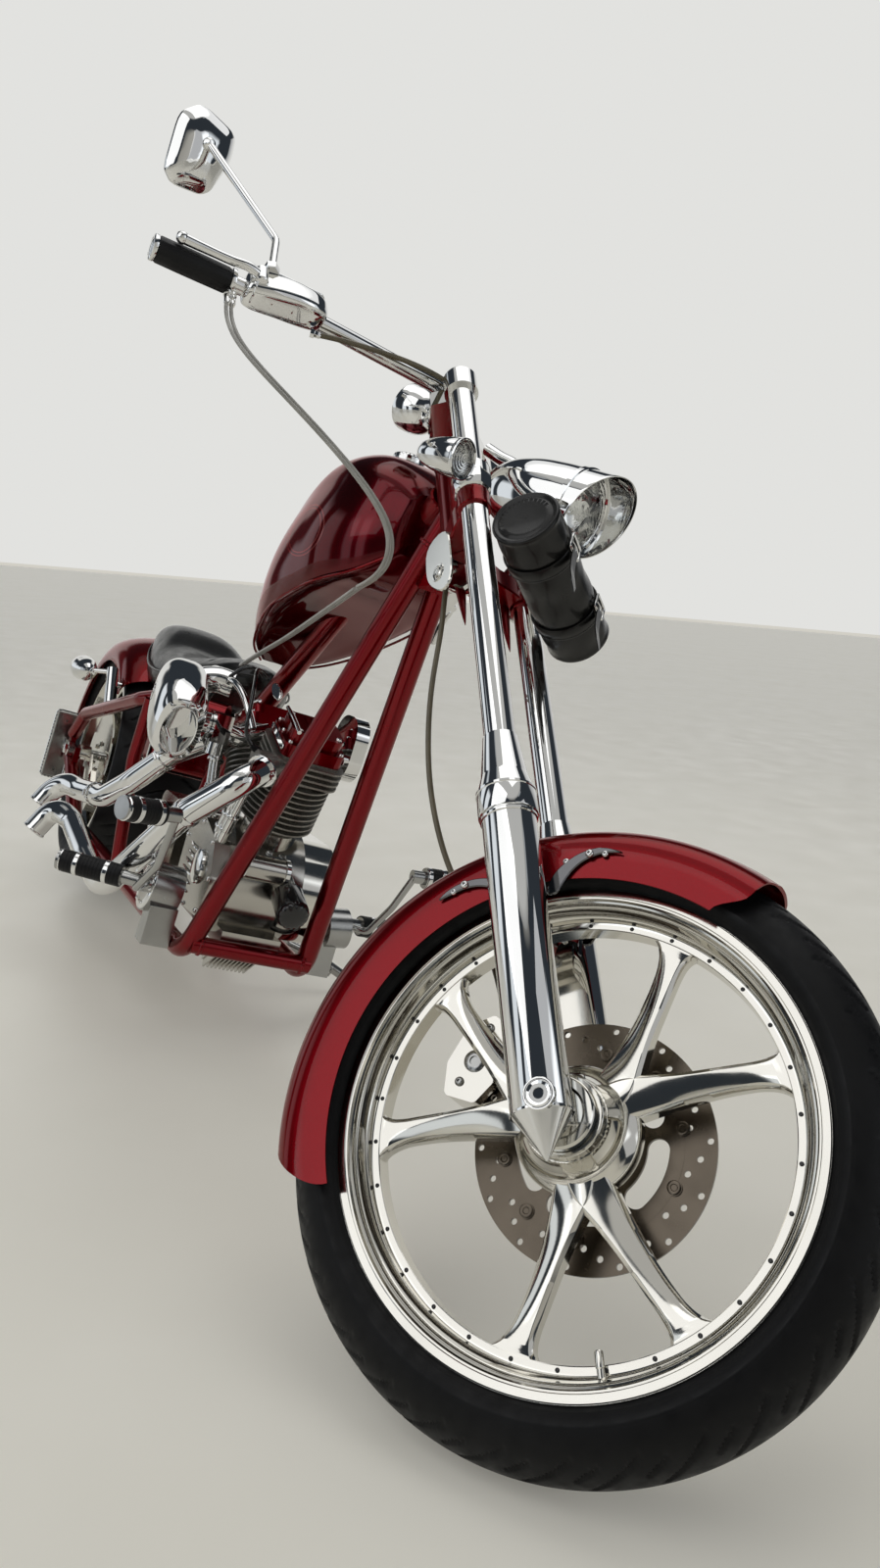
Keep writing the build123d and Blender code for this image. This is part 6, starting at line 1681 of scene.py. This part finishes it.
# The surround's colour by bearing in degrees, and how dark it is overhead by the direction's height.
WINDOW = (0.80, 0.85, 0.90)
WALL = (0.76, 0.76, 0.74)
FLAG = (0.028, 0.034, 0.042)
BEARINGS = ((-180, WALL), (-167, WALL), (-164, FLAG), (-157, FLAG), (-154, WINDOW), (-141, WINDOW),
            (-140, FLAG), (-132, FLAG), (-131, WINDOW), (-118, WINDOW), (-115, FLAG), (-104, FLAG),
            (-101, WINDOW), (-88, WINDOW), (-87, FLAG), (-79, FLAG), (-78, WINDOW), (-64, WINDOW),
            (-60, FLAG), (-34, FLAG), (-28, (0.34, 0.33, 0.30)), (4, (0.42, 0.41, 0.38)), (9, FLAG),
            (30, FLAG), (34, WINDOW), (54, WINDOW), (58, FLAG), (98, FLAG), (104, (0.40, 0.41, 0.42)),
            (118, (0.62, 0.62, 0.62)), (130, WALL), (180, WALL))
CEILING = ((0.0, 0.0), (0.42, 0.0), (0.52, 1.0), (0.80, 1.0), (0.86, 0.0), (1.0, 0.0))


def world():
    """Studio surround seen alike by camera, metal and glass.

    The colour depends on the direction's bearing, as pale walls and windows between dark flags, and
    on its height, with a dark ring overhead round a bright ceiling panel.
    """
    w = bpy.data.worlds.new("studio")
    bpy.context.scene.world = w
    w.use_nodes = True
    tree = w.node_tree
    tree.nodes.clear()

    def ramp(value, marks):
        node = tree.nodes.new("ShaderNodeValToRGB")
        while len(node.color_ramp.elements) < len(marks):
            node.color_ramp.elements.new(0.5)
        for element, (at, colour) in zip(node.color_ramp.elements, marks):
            element.position = at
            element.color = (*(colour if isinstance(colour, tuple) else (colour,) * 3), 1)
        tree.links.new(value, node.inputs[0])
        return node.outputs[0]

    split = tree.nodes.new("ShaderNodeSeparateXYZ")
    tree.links.new(tree.nodes.new("ShaderNodeTexCoord").outputs["Generated"], split.inputs[0])
    x, y, z = split.outputs
    panel, ground = (0.50, 0.50, 0.49), (0.64, 0.62, 0.56)
    panel_from, ground_under = 0.83, -0.01
    bearing = calc(tree, "ADD", calc(tree, "DIVIDE", calc(tree, "ARCTAN2", y, x), 2 * math.pi), 0.5)
    round_about = ramp(bearing, [((angle + 180) / 360, colour) for angle, colour in BEARINGS])
    lit = blend(tree, calc(tree, "GREATER_THAN", z, panel_from), round_about, panel)
    over = blend(tree, ramp(z, CEILING), lit, FLAG)
    back = tree.nodes.new("ShaderNodeBackground")
    feed(tree, blend(tree, calc(tree, "LESS_THAN", z, ground_under), over, ground), back.inputs["Color"])
    out = tree.nodes.new("ShaderNodeOutputWorld")
    tree.links.new(back.outputs[0], out.inputs[0])


def lamp(name, at, aim, size, power, colour=(1, 1, 1)):
    """Soft area lamp pointed at a place."""
    data = bpy.data.lights.new(name, "AREA")
    data.shape = "RECTANGLE"
    data.size, data.size_y = size
    data.energy = power
    data.color = colour
    obj = in_scene(name, data)
    obj.location = at
    obj.rotation_euler = (Vector(aim) - Vector(at)).to_track_quat("-Z", "Y").to_euler()


def camera():
    """Camera at the photo's viewpoint, from the solved position, bearing, pitch, roll and lens."""
    eye = (2.1696, -0.7289, 0.8933)
    bearing, pitch, roll = math.radians(153.63), math.radians(9.49), math.radians(4.76)
    level = np.array([math.cos(bearing), math.sin(bearing), 0])
    right = np.array([math.sin(bearing), -math.cos(bearing), 0])
    up = np.array([0, 0, 1.0])
    look = math.cos(pitch) * level - math.sin(pitch) * up
    head = math.sin(pitch) * level + math.cos(pitch) * up
    x = math.cos(roll) * right + math.sin(roll) * head
    y = -math.sin(roll) * right + math.cos(roll) * head
    data = bpy.data.cameras.new("photo_view")
    data.sensor_fit = "VERTICAL"
    data.sensor_height = 36.0
    data.lens = 27.152
    data.clip_start = 0.05
    obj = in_scene("photo_view", data)
    obj.matrix_world = Matrix([(x[k], y[k], -look[k], eye[k]) for k in range(3)] + [(0, 0, 0, 1)])
    bpy.context.scene.camera = obj


for part in (front_wheel_metal, tyres, wheel_trim, fenders, tank, seat, headlamp, lamps, handlebar_parts,
             mirrors, gauge, tool_roll, legs, lower_tree, fork_parts, cables, engine, filter_can, scoop,
             exhausts, frame_parts, controls, stage, world, camera):
    part()
lamp("key", (1.2, -3.2, 3.6), (0.1, 0, 0.5), (3.6, 3.6), 48)
lamp("fill", (4.2, 1.6, 2.4), (0.6, 0, 0.6), (3.0, 3.0), 14, (0.97, 0.98, 1.0))
lamp("top", (-0.4, 0.8, 4.4), (0, 0, 0.5), (3.8, 3.2), 34)
bpy.context.scene.view_settings.view_transform = "Standard"
